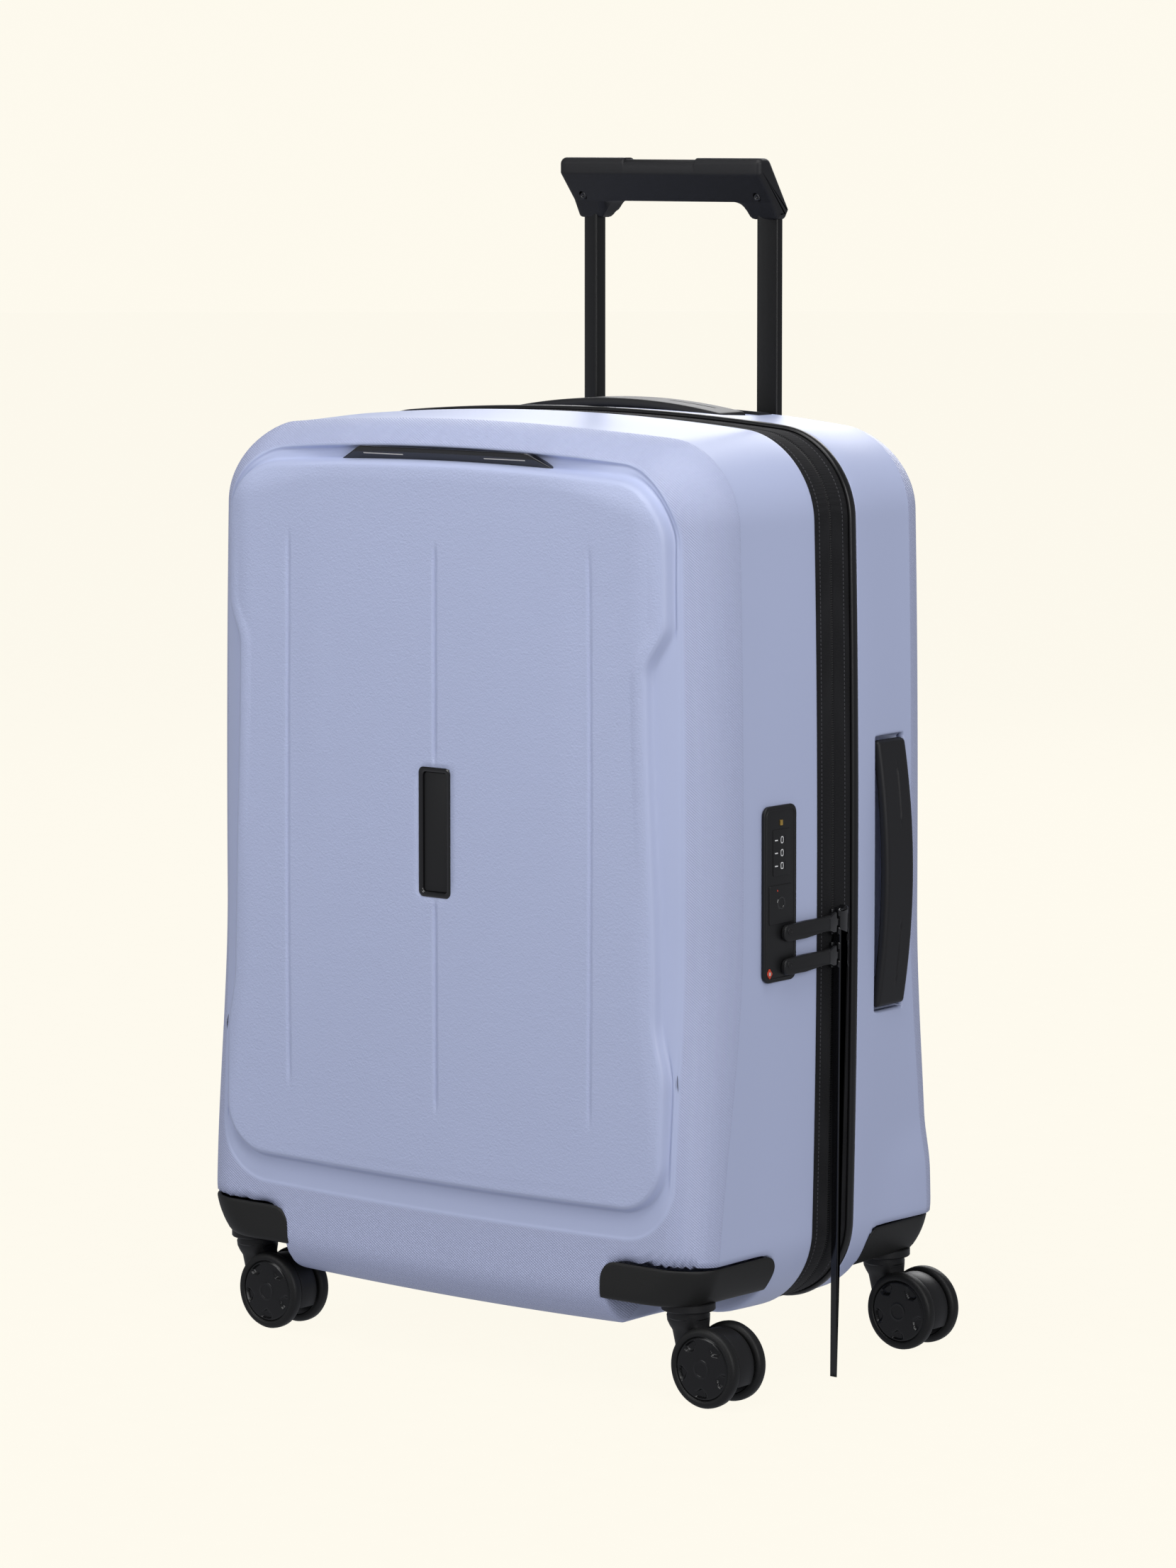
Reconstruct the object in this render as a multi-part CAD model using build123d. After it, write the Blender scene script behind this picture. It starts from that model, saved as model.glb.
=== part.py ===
from build123d import *
import os
from math import radians, cos, sin

# Hard-shell four-wheel suitcase. Millimetres, +Z up, front towards -Y, lock side towards +X.
# The origin is on the floor, under the middle of the case body.

# Case body
CROWN_Z = 690.0          # highest point of the case
BASE_Z = 43.0            # lowest point of the case body
HALF_WIDTH = 242.0
CROWN_RISE = 14.0        # how far the top bows up between its ends
SIDE_BOW = 5.0           # how far each side bows out
BASE_BOW = 6.0
CORNER_R = 60.0          # corners seen from the front
EDGE_R = 52.0            # edge between the front (or back) and the sides
WALL = 2.4
FRONT_Y = -148.0         # ground surface of the front shell
BACK_Y = 150.0
FRONT_RIM_Y = -16.0      # open edge of the front shell
REAR_RIM_Y = 34.0        # open edge of the rear shell
ZIP_Y = 5.0              # plane where the two halves part

# Raised panel on the front
PANEL_RISE = 4.5
PANEL_HALF_TOP = 204.0
PANEL_HALF_WAIST = 192.0
PANEL_BOTTOM_Z = 133.0
PANEL_TOP_Z = 655.0
GROOVE_W = 3.0
GROOVE_DEPTH = 1.4

# Casters
STEM_X = 205.2
STEM_Y = 118.7
TRAIL = 26.7             # axle behind the stem
WHEEL_R = 28.5
WHEEL_INNER_Y = 10.2     # inner face of each wheel from the middle of the fork
WHEEL_OUTER_Y = 20.0
TREAD = 4.0
PLATE_R = 18.5
PLATE_Z = 65.0
STEM_R = 4.0
AXLE_R = 3.0
RUNNING = 0.05           # radial clearance of pins and axles
GAP = 0.4                # clearance between other moving faces

# Wheel wells and corner guards
WELL_X = 147.0
WELL_Y = 57.0
WELL_TOP_Z = 100.0
WELL_CORNER_R = 18.0
GUARD_Z = 72.0
GUARD_WALL = 4.0

# Telescopic handle
TUBE_IN_X = 76.3
TUBE_OUT_X = 92.7
TUBE_FRONT_IN_Y = 129.3
TUBE_FRONT_OUT_Y = 134.6
TUBE_REAR_Y = 141.3
TUBE_WALL = 1.2
TUBE_PLAY = 0.5
EXTENSION = 183.0        # how far the handle stands above its stowed place
GRIP_HALF = 96.0
GRIP_TOP_Z = 875.0
STOWED_TUBE_FOOT_Z = 88.0
HOUSING_FLOOR_Z = 640.0
HOUSING_HALF = 101.0
HOUSING_FRONT_Y = 100.0
OUTER_TUBE_FOOT_Z = 78.0

# Carry handles: length along the case, width across it, height out of it
HANDLE_HALF = 97.5
HANDLE_HALF_W = 17.0
HANDLE_T = 7.0
HANDLE_POST = 85.0
HANDLE_PULL = 12.0
HANDLE_Y = 74.0
SIDE_HANDLE_Z = 358.0
CUP_DEPTH = 24.0
CUP_WALL = 2.0

# Lock on the right side of the front shell
LOCK_Y = (-80.5, -42.2)
LOCK_Z = (296.0, 418.0)
LOCK_FACE_X = 243.2
LOCK_BACK_X = 222.0
DIAL_Z = (396.0, 386.8, 377.6)
DIAL_R = 9.0
DIAL_T = 7.0
DIAL_Y = -61.0
DIAL_PROUD = 0.5
KEY_Z = (336.0, 364.0)
KEY_Y = (-75.0, -48.0)
KEY_TRAVEL = 5.0

# Zip sliders and pullers
SLIDER_Z = {"upper": 330.5, "lower": 306.5}
SLIDER_LEN = 19.0
SLIDER_X = 240.6
PULLER_X = (244.4, 247.6)
PULLER_PIVOT = (246.0, 8.0)
PULLER_LEN = 70.0
PULLER_H = 11.5

os.makedirs("parts", exist_ok=True)


def save(name, *solids):
    """Write one node; several solids become one group."""
    shape = solids[0] if len(solids) == 1 else Compound(children=list(solids))
    export_step(shape, f"parts/{name}.step")


def block(x, y, z):
    """Box between two limits on each axis."""
    (x0, x1), (y0, y1), (z0, z1) = [sorted(limits) for limits in (x, y, z)]
    size = Box(x1 - x0, y1 - y0, z1 - z0)
    return Pos((x0 + x1) / 2, (y0 + y1) / 2, (z0 + z1) / 2) * size


def rod(radius, start, direction, length):
    """Cylinder of a radius from a start point along a direction."""
    plane = Plane(origin=start, z_dir=direction)
    return plane * Cylinder(radius, length, align=(Align.CENTER, Align.CENTER, Align.MIN))


def mirror_x(shape):
    return shape.mirror(Plane.YZ)


# ---------------------------------------------------------------- case shells

def case_outline(inset, y):
    """Front view of the case, bowed on all four sides, a distance inside the outer surface."""
    top, base, side = CROWN_Z - inset, BASE_Z + inset, HALF_WIDTH - inset
    top_l, top_r = (-side + SIDE_BOW, y, top - CROWN_RISE), (side - SIDE_BOW, y, top - CROWN_RISE)
    base_l, base_r = (-side + SIDE_BOW, y, base + BASE_BOW), (side - SIDE_BOW, y, base + BASE_BOW)
    middle = (CROWN_Z + BASE_Z) / 2
    edges = [
        ThreePointArc(top_l, (0, y, top), top_r),
        ThreePointArc(top_r, (side, y, middle), base_r),
        ThreePointArc(base_r, (0, y, base), base_l),
        ThreePointArc(base_l, (-side, y, middle), top_l),
    ]
    face = Face(Wire(edges))
    return face.fillet_2d(CORNER_R - inset, face.vertices())


def case_ring(outer_inset, inner_inset, y0, y1):
    """Band that follows the outline of the case."""
    outer = extrude(case_outline(outer_inset, y0), y1 - y0, dir=(0, 1, 0))
    inner = extrude(case_outline(inner_inset, y0 - 1), y1 - y0 + 2, dir=(0, 1, 0))
    return outer - inner


def half_body(inset, rim_y, face_y):
    """Solid of one half of the case, rounded where its face meets the sides."""
    sign = 1 if face_y > rim_y else -1
    depth = abs(face_y - rim_y) - inset
    body = extrude(case_outline(inset, rim_y), depth, dir=(0, sign, 0))
    far = [e for e in body.edges() if abs(e.center().Y - (face_y - sign * inset)) < 0.5]
    return fillet(far, EDGE_R - inset)


def panel_outline(inset, y):
    """Raised front panel: waisted between a wide top and a wide bottom."""
    top, bottom = PANEL_TOP_Z - inset, PANEL_BOTTOM_Z + inset
    wide, waist = PANEL_HALF_TOP - inset, PANEL_HALF_WAIST - inset
    right = [(wide, bottom), (wide, 235), (waist, 262), (waist, 525), (wide, 560), (wide, top)]
    points = right + [(-x, z) for x, z in reversed(right)]
    face = Face(Polyline([(x, y, z) for x, z in points], close=True).wire())
    corners = [v for v in face.vertices() if v.Z < bottom + 1 or v.Z > top - 1]
    return face.fillet_2d(34 - inset, corners)


def front_panel(inset):
    deep = FRONT_Y - PANEL_RISE + inset
    return extrude(panel_outline(inset, deep), PANEL_RISE + 4, dir=(0, 1, 0))


def well(grow, sx, sy):
    """Space around one caster, open to the outside of the corner and below."""
    x0, y0, top = WELL_X - grow, WELL_Y - grow, WELL_TOP_Z + grow
    space = block((x0, HALF_WIDTH + 60), (y0, BACK_Y + 60), (BASE_Z - 60, top))
    corner = Vector(x0, y0, top)
    inner = [e for e in space.edges() if min((Vector(v) - corner).length for v in e.vertices()) < 0.01]
    space = fillet(inner, WELL_CORNER_R + grow)
    if sx < 0:
        space = space.mirror(Plane.YZ)
    return space if sy > 0 else space.mirror(Plane.XZ)


def handle_frame(side):
    """Local frame of a carry handle: X along its length, Y across it, Z out of the case."""
    if side == "top":
        return Plane(origin=(0, HANDLE_Y, CROWN_Z - 3.5), x_dir=(1, 0, 0), z_dir=(0, 0, 1))
    return Plane(origin=(HALF_WIDTH - 0.5, HANDLE_Y, SIDE_HANDLE_Z), x_dir=(0, 0, 1), z_dir=(1, 0, 0))


def cup_cut(side):
    cut = Box(2 * HANDLE_HALF + 6, 2 * HANDLE_HALF_W + 6, CUP_DEPTH + 30)
    return handle_frame(side) * Pos(0, 0, (30 - CUP_DEPTH) / 2) * cut


def lock_window(grow):
    x = (LOCK_BACK_X - 20, LOCK_FACE_X + 10)
    y = (LOCK_Y[0] + 4 - grow, LOCK_Y[1] - 4 + grow)
    return block(x, y, (LOCK_Z[0] + 4 - grow, LOCK_Z[1] - 4 + grow))


def housing_space(grow):
    """Recess at the top of the back that takes the stowed grip."""
    half = HOUSING_HALF + grow
    return block((-half, half), (HOUSING_FRONT_Y - grow, BACK_Y + 40), (HOUSING_FLOOR_Z - grow, CROWN_Z + 40))


def shell_with_wells(outer, inner, sy):
    """Hollow half with closed walls around its two casters."""
    shell = outer - inner
    for sx in (-1, 1):
        shell = shell + (well(WALL, sx, sy) & outer)
    for sx in (-1, 1):
        shell = shell - well(0, sx, sy)
    return shell


front_outer = half_body(0, FRONT_RIM_Y, FRONT_Y)
front_inner = half_body(WALL, FRONT_RIM_Y, FRONT_Y)
rear_outer = half_body(0, REAR_RIM_Y, BACK_Y)
rear_inner = half_body(WALL, REAR_RIM_Y, BACK_Y)


def panel_grooves():
    """Fine straight grooves that divide the front panel into three fields."""
    y = (FRONT_Y - PANEL_RISE - 5, FRONT_Y - PANEL_RISE + GROOVE_DEPTH)
    half = GROOVE_W / 2
    cuts = [block((x - half, x + half), y, (187, 605)) for x in (-140, 140)]
    return cuts + [block((-half, half), y, z) for z in ((189, 339), (445, 594))]


def side_feet(y0, y1):
    """Moulded feet on the left side, which the case rests on when laid down."""
    x = (-HALF_WIDTH - 3.3, -HALF_WIDTH + 4)
    feet = []
    for z in ((178, 229), (541, 580)):
        foot = block(x, (y0, y1), z)
        feet.append(fillet(foot.faces().sort_by(Axis.X)[0].edges(), 1.5))
    return feet


def front_shell():
    shell = shell_with_wells(front_outer + front_panel(0), front_inner, -1) - front_panel(WALL)
    for cut in panel_grooves():
        shell = shell - cut
    for foot in side_feet(-90, -40):
        shell = shell + foot
    insert = block((-15.6, 15.6), (FRONT_Y - 20, FRONT_Y + 10), (342.7, 438.3))
    return shell - lock_window(0.2) - insert


def rear_shell():
    shell = shell_with_wells(rear_outer, rear_inner, 1)
    for foot in side_feet(50, 96):
        shell = shell + foot
    return shell - housing_space(WALL) - cup_cut("top") - cup_cut("side")


def lining(inset, rim_y, face_y, sy):
    """Cloth lining just inside one shell, open at the rim."""
    skin = half_body(inset, rim_y, face_y) - half_body(inset + 1, rim_y, face_y)
    for sx in (-1, 1):
        skin = skin - well(WALL + 0.5, sx, sy)
    return skin


save("front_shell", front_shell())
save("rear_shell", rear_shell())

front_lining = lining(WALL + 4.5, FRONT_RIM_Y, FRONT_Y, -1) - lock_window(6)
save("front_lining", front_lining)
rear_lining = lining(WALL + 1.4, REAR_RIM_Y, 124, 1) - cup_cut("side") - cup_cut("top") - housing_space(4)
save("rear_lining", rear_lining)

# ---------------------------------------------------------------- zip, piping and hinge

TAPE_INSET = WALL + 0.1
HINGE_HALF = 240.0
HINGE_MID_Z = 370.0
COIL_R = 1.4

hinge_gap = block((-300, -HALF_WIDTH + 30), (-60, 60), (HINGE_MID_Z - HINGE_HALF, HINGE_MID_Z + HINGE_HALF))


def zip_coil(y0, y1):
    return case_ring(0.8, 0.8 + 2 * COIL_R, y0, y1) - hinge_gap


save("zip_tape_front", case_ring(TAPE_INSET, TAPE_INSET + 1, FRONT_RIM_Y - 12, 1.8) - hinge_gap)
save("zip_tape_rear", case_ring(TAPE_INSET, TAPE_INSET + 1, 8.2, REAR_RIM_Y + 12) - hinge_gap)
save("zip_coil_front", zip_coil(2.0, 4.7))
save("zip_coil_rear", zip_coil(5.3, 8.0))
save("rim_piping", case_ring(0, WALL, 26.2, REAR_RIM_Y))
hinge_band = case_ring(TAPE_INSET, TAPE_INSET + 1, FRONT_RIM_Y - 12, REAR_RIM_Y + 12)
save("hinge_tape", hinge_band & hinge_gap)

# ---------------------------------------------------------------- inside

STRAP_W = 25.0
STRAP_T = 1.2
BUCKLE = (62.0, 5.0, 40.0)
STRAP_Y = 30.0


def strap(sx, sz):
    """One arm of the crossed packing straps, from the buckle to a corner of the rear half."""
    run = 262.0
    angle = 52.0 if sx * sz > 0 else -52.0
    arm = Pos(sx * 97.0, STRAP_Y, HINGE_MID_Z + sz * 124.0) * Rot(0, -angle, 0) * Box(run, STRAP_T, STRAP_W)
    return arm - Pos(0, STRAP_Y, HINGE_MID_Z) * Box(*BUCKLE)


save("packing_straps", *[strap(sx, sz) for sx in (-1, 1) for sz in (-1, 1)])
save("strap_buckle", fillet((Pos(0, STRAP_Y, HINGE_MID_Z) * Box(*BUCKLE)).edges(), 1.5))

divider = extrude(case_outline(TAPE_INSET + 1.2, -13), 1.4, dir=(0, 1, 0))
for sx in (-1, 1):
    divider = divider - well(WALL + 1, sx, -1)
save("divider_panel", divider)

# ---------------------------------------------------------------- corner guards and casters

def guard(sx, sy, outer):
    """Black wrap-around guard: a rim, a plate over the wheel and a boss for the stem."""
    solid = (outer & well(-GAP / 2, sx, sy)) - block((-400, 400), (-400, 400), (-100, GUARD_Z))
    hollow = (outer & well(-GUARD_WALL, sx, sy)) - block((-400, 400), (-400, 400), (-100, GUARD_Z + GUARD_WALL))
    side_x = HALF_WIDTH - GUARD_WALL - 2
    face_y = abs(FRONT_Y) - GUARD_WALL - 2
    room = block((-side_x, side_x), (-face_y, face_y), (GUARD_Z, WELL_TOP_Z + 20))
    stem = (sx * STEM_X, sy * STEM_Y)
    body = solid - (hollow & room)
    body = body + rod(13, (*stem, GUARD_Z), (0, 0, 1), WELL_TOP_Z - GUARD_Z - GAP / 2)
    bore = rod(STEM_R + RUNNING, (*stem, GUARD_Z - 5), (0, 0, 1), 40)
    head_room = rod(8, (*stem, 90), (0, 0, 1), 12)
    return body - bore - head_room


def swivel_fork(sx, sy):
    """Stem, swivel plate and the fender that carries the axle between two wheels."""
    x, y = sx * STEM_X, sy * STEM_Y
    axle_x, axle_z = x + TRAIL, WHEEL_R
    half = WHEEL_INNER_Y - GAP
    neck = block((x - 14, x + 14), (y - half, y + half), (46, PLATE_Z))
    fender = rod(24, (axle_x, y - half, axle_z), (0, 1, 0), 2 * half)
    bridge = Polyline((x - 14, y - half, 46), (axle_x - 20, y - half, 15.5), (axle_x, y - half, 52.5), close=True)
    web = extrude(Face(bridge.wire()), 2 * half, dir=(0, 1, 0))
    plate = rod(PLATE_R, (x, y, PLATE_Z), (0, 0, 1), GUARD_Z - PLATE_Z - GAP)
    stem = rod(STEM_R, (x, y, PLATE_Z), (0, 0, 1), 93 - PLATE_Z)
    head = rod(6.5, (x, y, 90 + GAP), (0, 0, 1), 2.6)
    axle = rod(AXLE_R, (axle_x, y - 17, axle_z), (0, 1, 0), 34)
    return neck + fender + web + plate + stem + head + axle


def wheel(sx, sy, side):
    """Tyre and hub of one wheel; the hub has a blind bore for the axle."""
    x, y, z = sx * STEM_X + TRAIL, sy * STEM_Y, WHEEL_R
    start = (x, y + side * WHEEL_INNER_Y, z)
    width = WHEEL_OUTER_Y - WHEEL_INNER_Y
    out = (0, side, 0)
    tyre = rod(WHEEL_R, start, out, width)
    tyre = fillet(tyre.edges(), 2.2) - rod(WHEEL_R - TREAD, start, out, width)
    hub = rod(WHEEL_R - TREAD, start, out, width - 0.6)
    bore_start = (x, y + side * (WHEEL_INNER_Y - 1), z)
    return tyre, hub - rod(AXLE_R + RUNNING, bore_start, out, 17.6 - WHEEL_INNER_Y + 1)


for end, sy, outer in (("front", -1, front_outer), ("rear", 1, rear_outer)):
    for hand, sx in (("left", -1), ("right", 1)):
        save(f"corner_guard_{end}_{hand}", guard(sx, sy, outer))
        save(f"swivel_fork_{end}_{hand}", swivel_fork(sx, sy))
        save(f"wheel_{end}_{hand}_a", *wheel(sx, sy, -1))
        save(f"wheel_{end}_{hand}_b", *wheel(sx, sy, 1))

# ---------------------------------------------------------------- telescopic handle

def tube_section(grow, z):
    """Right-hand tube seen from above: deeper on its inner side."""
    points = [
        (TUBE_IN_X - grow, TUBE_FRONT_IN_Y - grow, z),
        (TUBE_OUT_X + grow, TUBE_FRONT_OUT_Y - grow, z),
        (TUBE_OUT_X + grow, TUBE_REAR_Y + grow, z),
        (TUBE_IN_X - grow, TUBE_REAR_Y + grow, z),
    ]
    return Face(Polyline(points, close=True).wire())


def tube(outside, inside, z0, z1):
    skin = extrude(tube_section(outside, z0), z1 - z0, dir=(0, 0, 1))
    return skin - extrude(tube_section(inside, z0 - 1), z1 - z0 + 2, dir=(0, 0, 1))


outer_tube = tube(TUBE_PLAY + TUBE_WALL, TUBE_PLAY, OUTER_TUBE_FOOT_Z, HOUSING_FLOOR_Z)
save("trolley_outer_tube_right", outer_tube)
save("trolley_outer_tube_left", mirror_x(outer_tube))

TUBE_FOOT_Z = STOWED_TUBE_FOOT_Z + EXTENSION
LEG_FOOT_Z = 829.0
TUBE_HEAD_Z = 846.0
SCREW_Z = (800.0, 813.0)
GRIP_SCREW_Z = 846.0


def tube_screw(z):
    """Screw set flush in the front of the right-hand tube."""
    slope = (TUBE_FRONT_OUT_Y - TUBE_FRONT_IN_Y) / (TUBE_OUT_X - TUBE_IN_X)
    x = (TUBE_IN_X + TUBE_OUT_X) / 2
    y = (TUBE_FRONT_IN_Y + TUBE_FRONT_OUT_Y) / 2
    return rod(3.0, (x - slope * 0.1, y + 0.1, z), (-slope, 1, 0), 3.0)


inner_tube = tube(0, -TUBE_WALL, TUBE_FOOT_Z, TUBE_HEAD_Z)
for z in SCREW_Z:
    inner_tube = inner_tube - tube_screw(z)
save("trolley_inner_tube_right", inner_tube)
save("trolley_inner_tube_left", mirror_x(inner_tube))
screws = [tube_screw(z) for z in SCREW_Z]
save("tube_screws", *screws, *[mirror_x(s) for s in screws])


def trolley_housing():
    """Liner of the recess that takes the stowed grip, trimmed to the case surface."""
    liner = (housing_space(WALL) - housing_space(0)) & rear_outer
    hole = extrude(tube_section(TUBE_PLAY + TUBE_WALL, HOUSING_FLOOR_Z - 20), 60, dir=(0, 0, 1))
    return liner - hole - mirror_x(hole)


def foot_bracket():
    """Bar on the floor of the rear half that joins the feet of the outer tubes."""
    bar = block((-104, 104), (124, 146), (OUTER_TUBE_FOOT_Z - 14, OUTER_TUBE_FOOT_Z + 12))
    socket = extrude(tube_section(TUBE_PLAY + TUBE_WALL, OUTER_TUBE_FOOT_Z), 40, dir=(0, 0, 1))
    return bar - socket - mirror_x(socket)


save("trolley_housing", trolley_housing())
save("trolley_foot_bracket", foot_bracket() & rear_inner)


def grip():
    """Handle bar that slopes back as it goes down, with a leg over each tube."""
    profile = [(107.6, 864), (107.6, 875), (120, 875), (146.5, 836), (142, 829), (131.7, 829), (125, 842)]
    face = Face(Polyline([(-GRIP_HALF, y, z) for y, z in profile], close=True).wire())
    bar = extrude(face, 2 * GRIP_HALF, dir=(1, 0, 0))
    bar = fillet([e for e in bar.edges().filter_by(Axis.X) if e.center().Z > 870], 3.5)
    bar = bar - block((-68, 68), (100, 160), (820, 842))
    sockets = extrude(tube_section(0.05, 820), TUBE_HEAD_Z - 820, dir=(0, 0, 1))
    button_pocket = block((-34, 34), (109.6, 117.4), (865, 880))
    screw_holes = [rod(3.2, (x, 100, GRIP_SCREW_Z), (0, 1, 0), 25) for x in (-83, 83)]
    bar = bar - sockets - mirror_x(sockets) - button_pocket
    for hole in screw_holes:
        bar = bar - hole
    return bar


save("trolley_grip", grip())
save("grip_screws", *[rod(3.2, (x, 120, GRIP_SCREW_Z), (0, 1, 0), 5) for x in (-83, 83)])
button = block((-34 + GAP, 34 - GAP), (109.6 + GAP, 117.4 - GAP), (869, 873.7))
save("trolley_button", fillet(button.faces().sort_by(Axis.Z)[-1].edges(), 1.0))

# ---------------------------------------------------------------- carry handles

def carry_handle(side):
    """Arched bar on two posts that slide out of the cup when it is lifted."""
    length, lift = HANDLE_HALF, 9.0
    ends = 4.0
    outer = ThreePointArc((-length, 0, ends), (0, 0, lift), (length, 0, ends))
    inner = ThreePointArc((length, 0, ends - HANDLE_T), (0, 0, lift - HANDLE_T), (-length, 0, ends - HANDLE_T))
    caps = [Line((length, 0, ends), (length, 0, ends - HANDLE_T)),
            Line((-length, 0, ends - HANDLE_T), (-length, 0, ends))]
    face = Face(Wire([outer, caps[0], inner, caps[1]]))
    face = face.fillet_2d(3, face.vertices())
    bar = Pos(0, -HANDLE_HALF_W, 0) * extrude(face, 2 * HANDLE_HALF_W, dir=(0, 1, 0))
    bar = fillet([e for e in bar.edges() if abs(abs(e.center().Y) - HANDLE_HALF_W) < 0.01], 2)
    for u in (-HANDLE_POST, HANDLE_POST):
        bar = bar + Pos(u, 0, -9) * Box(10, 22, 20)
    return handle_frame(side) * bar


def handle_cup(side):
    """Dish behind a carry handle: finger room in the middle, a socket for each post."""
    length, width = HANDLE_HALF + 3, HANDLE_HALF_W + 3
    dish = Pos(0, 0, -CUP_DEPTH / 2 - 2) * Box(2 * length, 2 * width, CUP_DEPTH)
    hollow = Pos(0, 0, -CUP_DEPTH / 2 - 2 + CUP_WALL)
    dish = dish - hollow * Box(2 * length - 2 * CUP_WALL, 2 * width - 2 * CUP_WALL, CUP_DEPTH)
    for u in (-HANDLE_POST, HANDLE_POST):
        socket = Pos(u, 0, 5 - CUP_DEPTH) * (Box(16, 30, 14) - Box(10 + 2 * GAP, 22 + 2 * GAP, 20))
        dish = dish + socket
    return (handle_frame(side) * dish) & rear_outer


for side in ("top", "side"):
    save(f"{side}_handle", carry_handle(side))
    save(f"{side}_handle_cup", handle_cup(side))

# ---------------------------------------------------------------- front trims

BADGE_Z = (654.0, 667.0)


def badge():
    """Gloss badge with slanted ends at the top of the front."""
    points = [(-102.5, BADGE_Z[0]), (102.5, BADGE_Z[0]), (81.5, BADGE_Z[1]), (-81.5, BADGE_Z[1])]
    face = Face(Polyline([(x, FRONT_Y - 3, z) for x, z in points], close=True).wire())
    return extrude(face, 24, dir=(0, 1, 0)) - front_outer - front_panel(0)


def insert_frame():
    """Rounded black bezel in the middle of the front."""
    bezel = block((-15.3, 15.3), (FRONT_Y - 5.6, FRONT_Y + 1), (343, 438))
    bezel = fillet(bezel.edges().filter_by(Axis.Y), 6)
    return bezel - block((-10.5, 10.5), (FRONT_Y - 10, FRONT_Y - 3), (353, 428))


save("front_badge", badge())
save("centre_insert_frame", insert_frame())
pad = block((-10.3, 10.3), (FRONT_Y - 5, FRONT_Y - 3), (353.2, 427.8))
save("centre_insert_pad", fillet(pad.edges().filter_by(Axis.Y), 3))

# ---------------------------------------------------------------- lock

def lock_body():
    """Lock plate on the side with its mechanism box behind it."""
    plate = block((240.6, LOCK_FACE_X), LOCK_Y, LOCK_Z)
    plate = fillet(plate.edges().filter_by(Axis.X), 5) - front_outer
    body = plate + (lock_window(0) & block((LOCK_BACK_X, LOCK_FACE_X), (-100, 0), (200, 500)))
    for z in DIAL_Z:
        slot = block((LOCK_FACE_X - 2 * DIAL_R - 1, 260), (DIAL_Y - DIAL_R - 1, DIAL_Y + DIAL_R + 1),
                     (z - DIAL_T / 2 - GAP, z + DIAL_T / 2 + GAP))
        body = body - slot
        body = body + rod(1.5, (LOCK_FACE_X + DIAL_PROUD - DIAL_R, DIAL_Y, z - 5), (0, 0, 1), 10)
    window = block((236, 260), (KEY_Y[0] - GAP, KEY_Y[1] + GAP), (KEY_Z[0] - GAP, KEY_Z[1] + KEY_TRAVEL + GAP))
    body = body - window
    for z in (311.0, 328.0):
        body = body - block((241.2, 260), (-70, -52), (z - 3.5, z + 3.5))
    return body


def dial(z):
    axle = (LOCK_FACE_X + DIAL_PROUD - DIAL_R, DIAL_Y)
    disc = rod(DIAL_R, (*axle, z - DIAL_T / 2), (0, 0, 1), DIAL_T)
    return disc - rod(1.5 + RUNNING, (*axle, z - DIAL_T), (0, 0, 1), 2 * DIAL_T)


KEY_CENTRE = (-61.5, 351.0)
save("lock_plate", lock_body())
for name, z in zip(("upper", "middle", "lower"), DIAL_Z):
    save(f"lock_dial_{name}", dial(z))
release = block((236.4, LOCK_FACE_X - 0.2), KEY_Y, KEY_Z)
key_start = (236.4, *KEY_CENTRE)
save("lock_release", release - rod(5 + RUNNING, (235, *KEY_CENTRE), (1, 0, 0), 20))
barrel = rod(5, key_start, (1, 0, 0), LOCK_FACE_X - 0.4 - 236.4)
keyway = Pos(LOCK_FACE_X, *KEY_CENTRE) * Box(4, 1.2, 6)
save("key_cylinder", barrel - keyway)

# ---------------------------------------------------------------- zip sliders and pullers

def slider(z):
    """Slider body over the coil, with a lug for its puller."""
    z_limits = (z - SLIDER_LEN / 2, z + SLIDER_LEN / 2)
    top = fillet(block((241.6, 243.2), (-0.5, 12.5), z_limits).edges().filter_by(Axis.X), 2.5)
    lug = block((243, PULLER_X[1]), (4, 12), (z - 9.2, z - 6.6))
    lug = lug + block((243, PULLER_X[1]), (4, 12), (z + 6.6, z + 9.2))
    pin = rod(1.2, (*PULLER_PIVOT, z - 8), (0, 0, 1), 16)
    return top + lug + pin


def puller(z):
    """Flat pull tab hinged on the slider's pin, its tip reaching the lock."""
    x, y = PULLER_PIVOT
    tab = block(PULLER_X, (y - PULLER_LEN, y - 4), (z - PULLER_H / 2, z + PULLER_H / 2))
    tab = fillet(tab.edges().filter_by(Axis.X), 2.5)
    eye = rod(1.6, (x, y, z - 6), (0, 0, 1), 12)
    neck = block((245.0, 247.0), (y - 6, y), (z - 5.5, z + 5.5))
    return (tab + neck + eye) - rod(1.2 + RUNNING, (x, y, z - 8), (0, 0, 1), 16)


for name, z in SLIDER_Z.items():
    save(f"zip_slider_{name}", slider(z))
    save(f"zip_puller_{name}", puller(z))
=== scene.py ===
import math

import bmesh
import bpy
import numpy as np
from mathutils import Matrix, Vector

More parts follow.
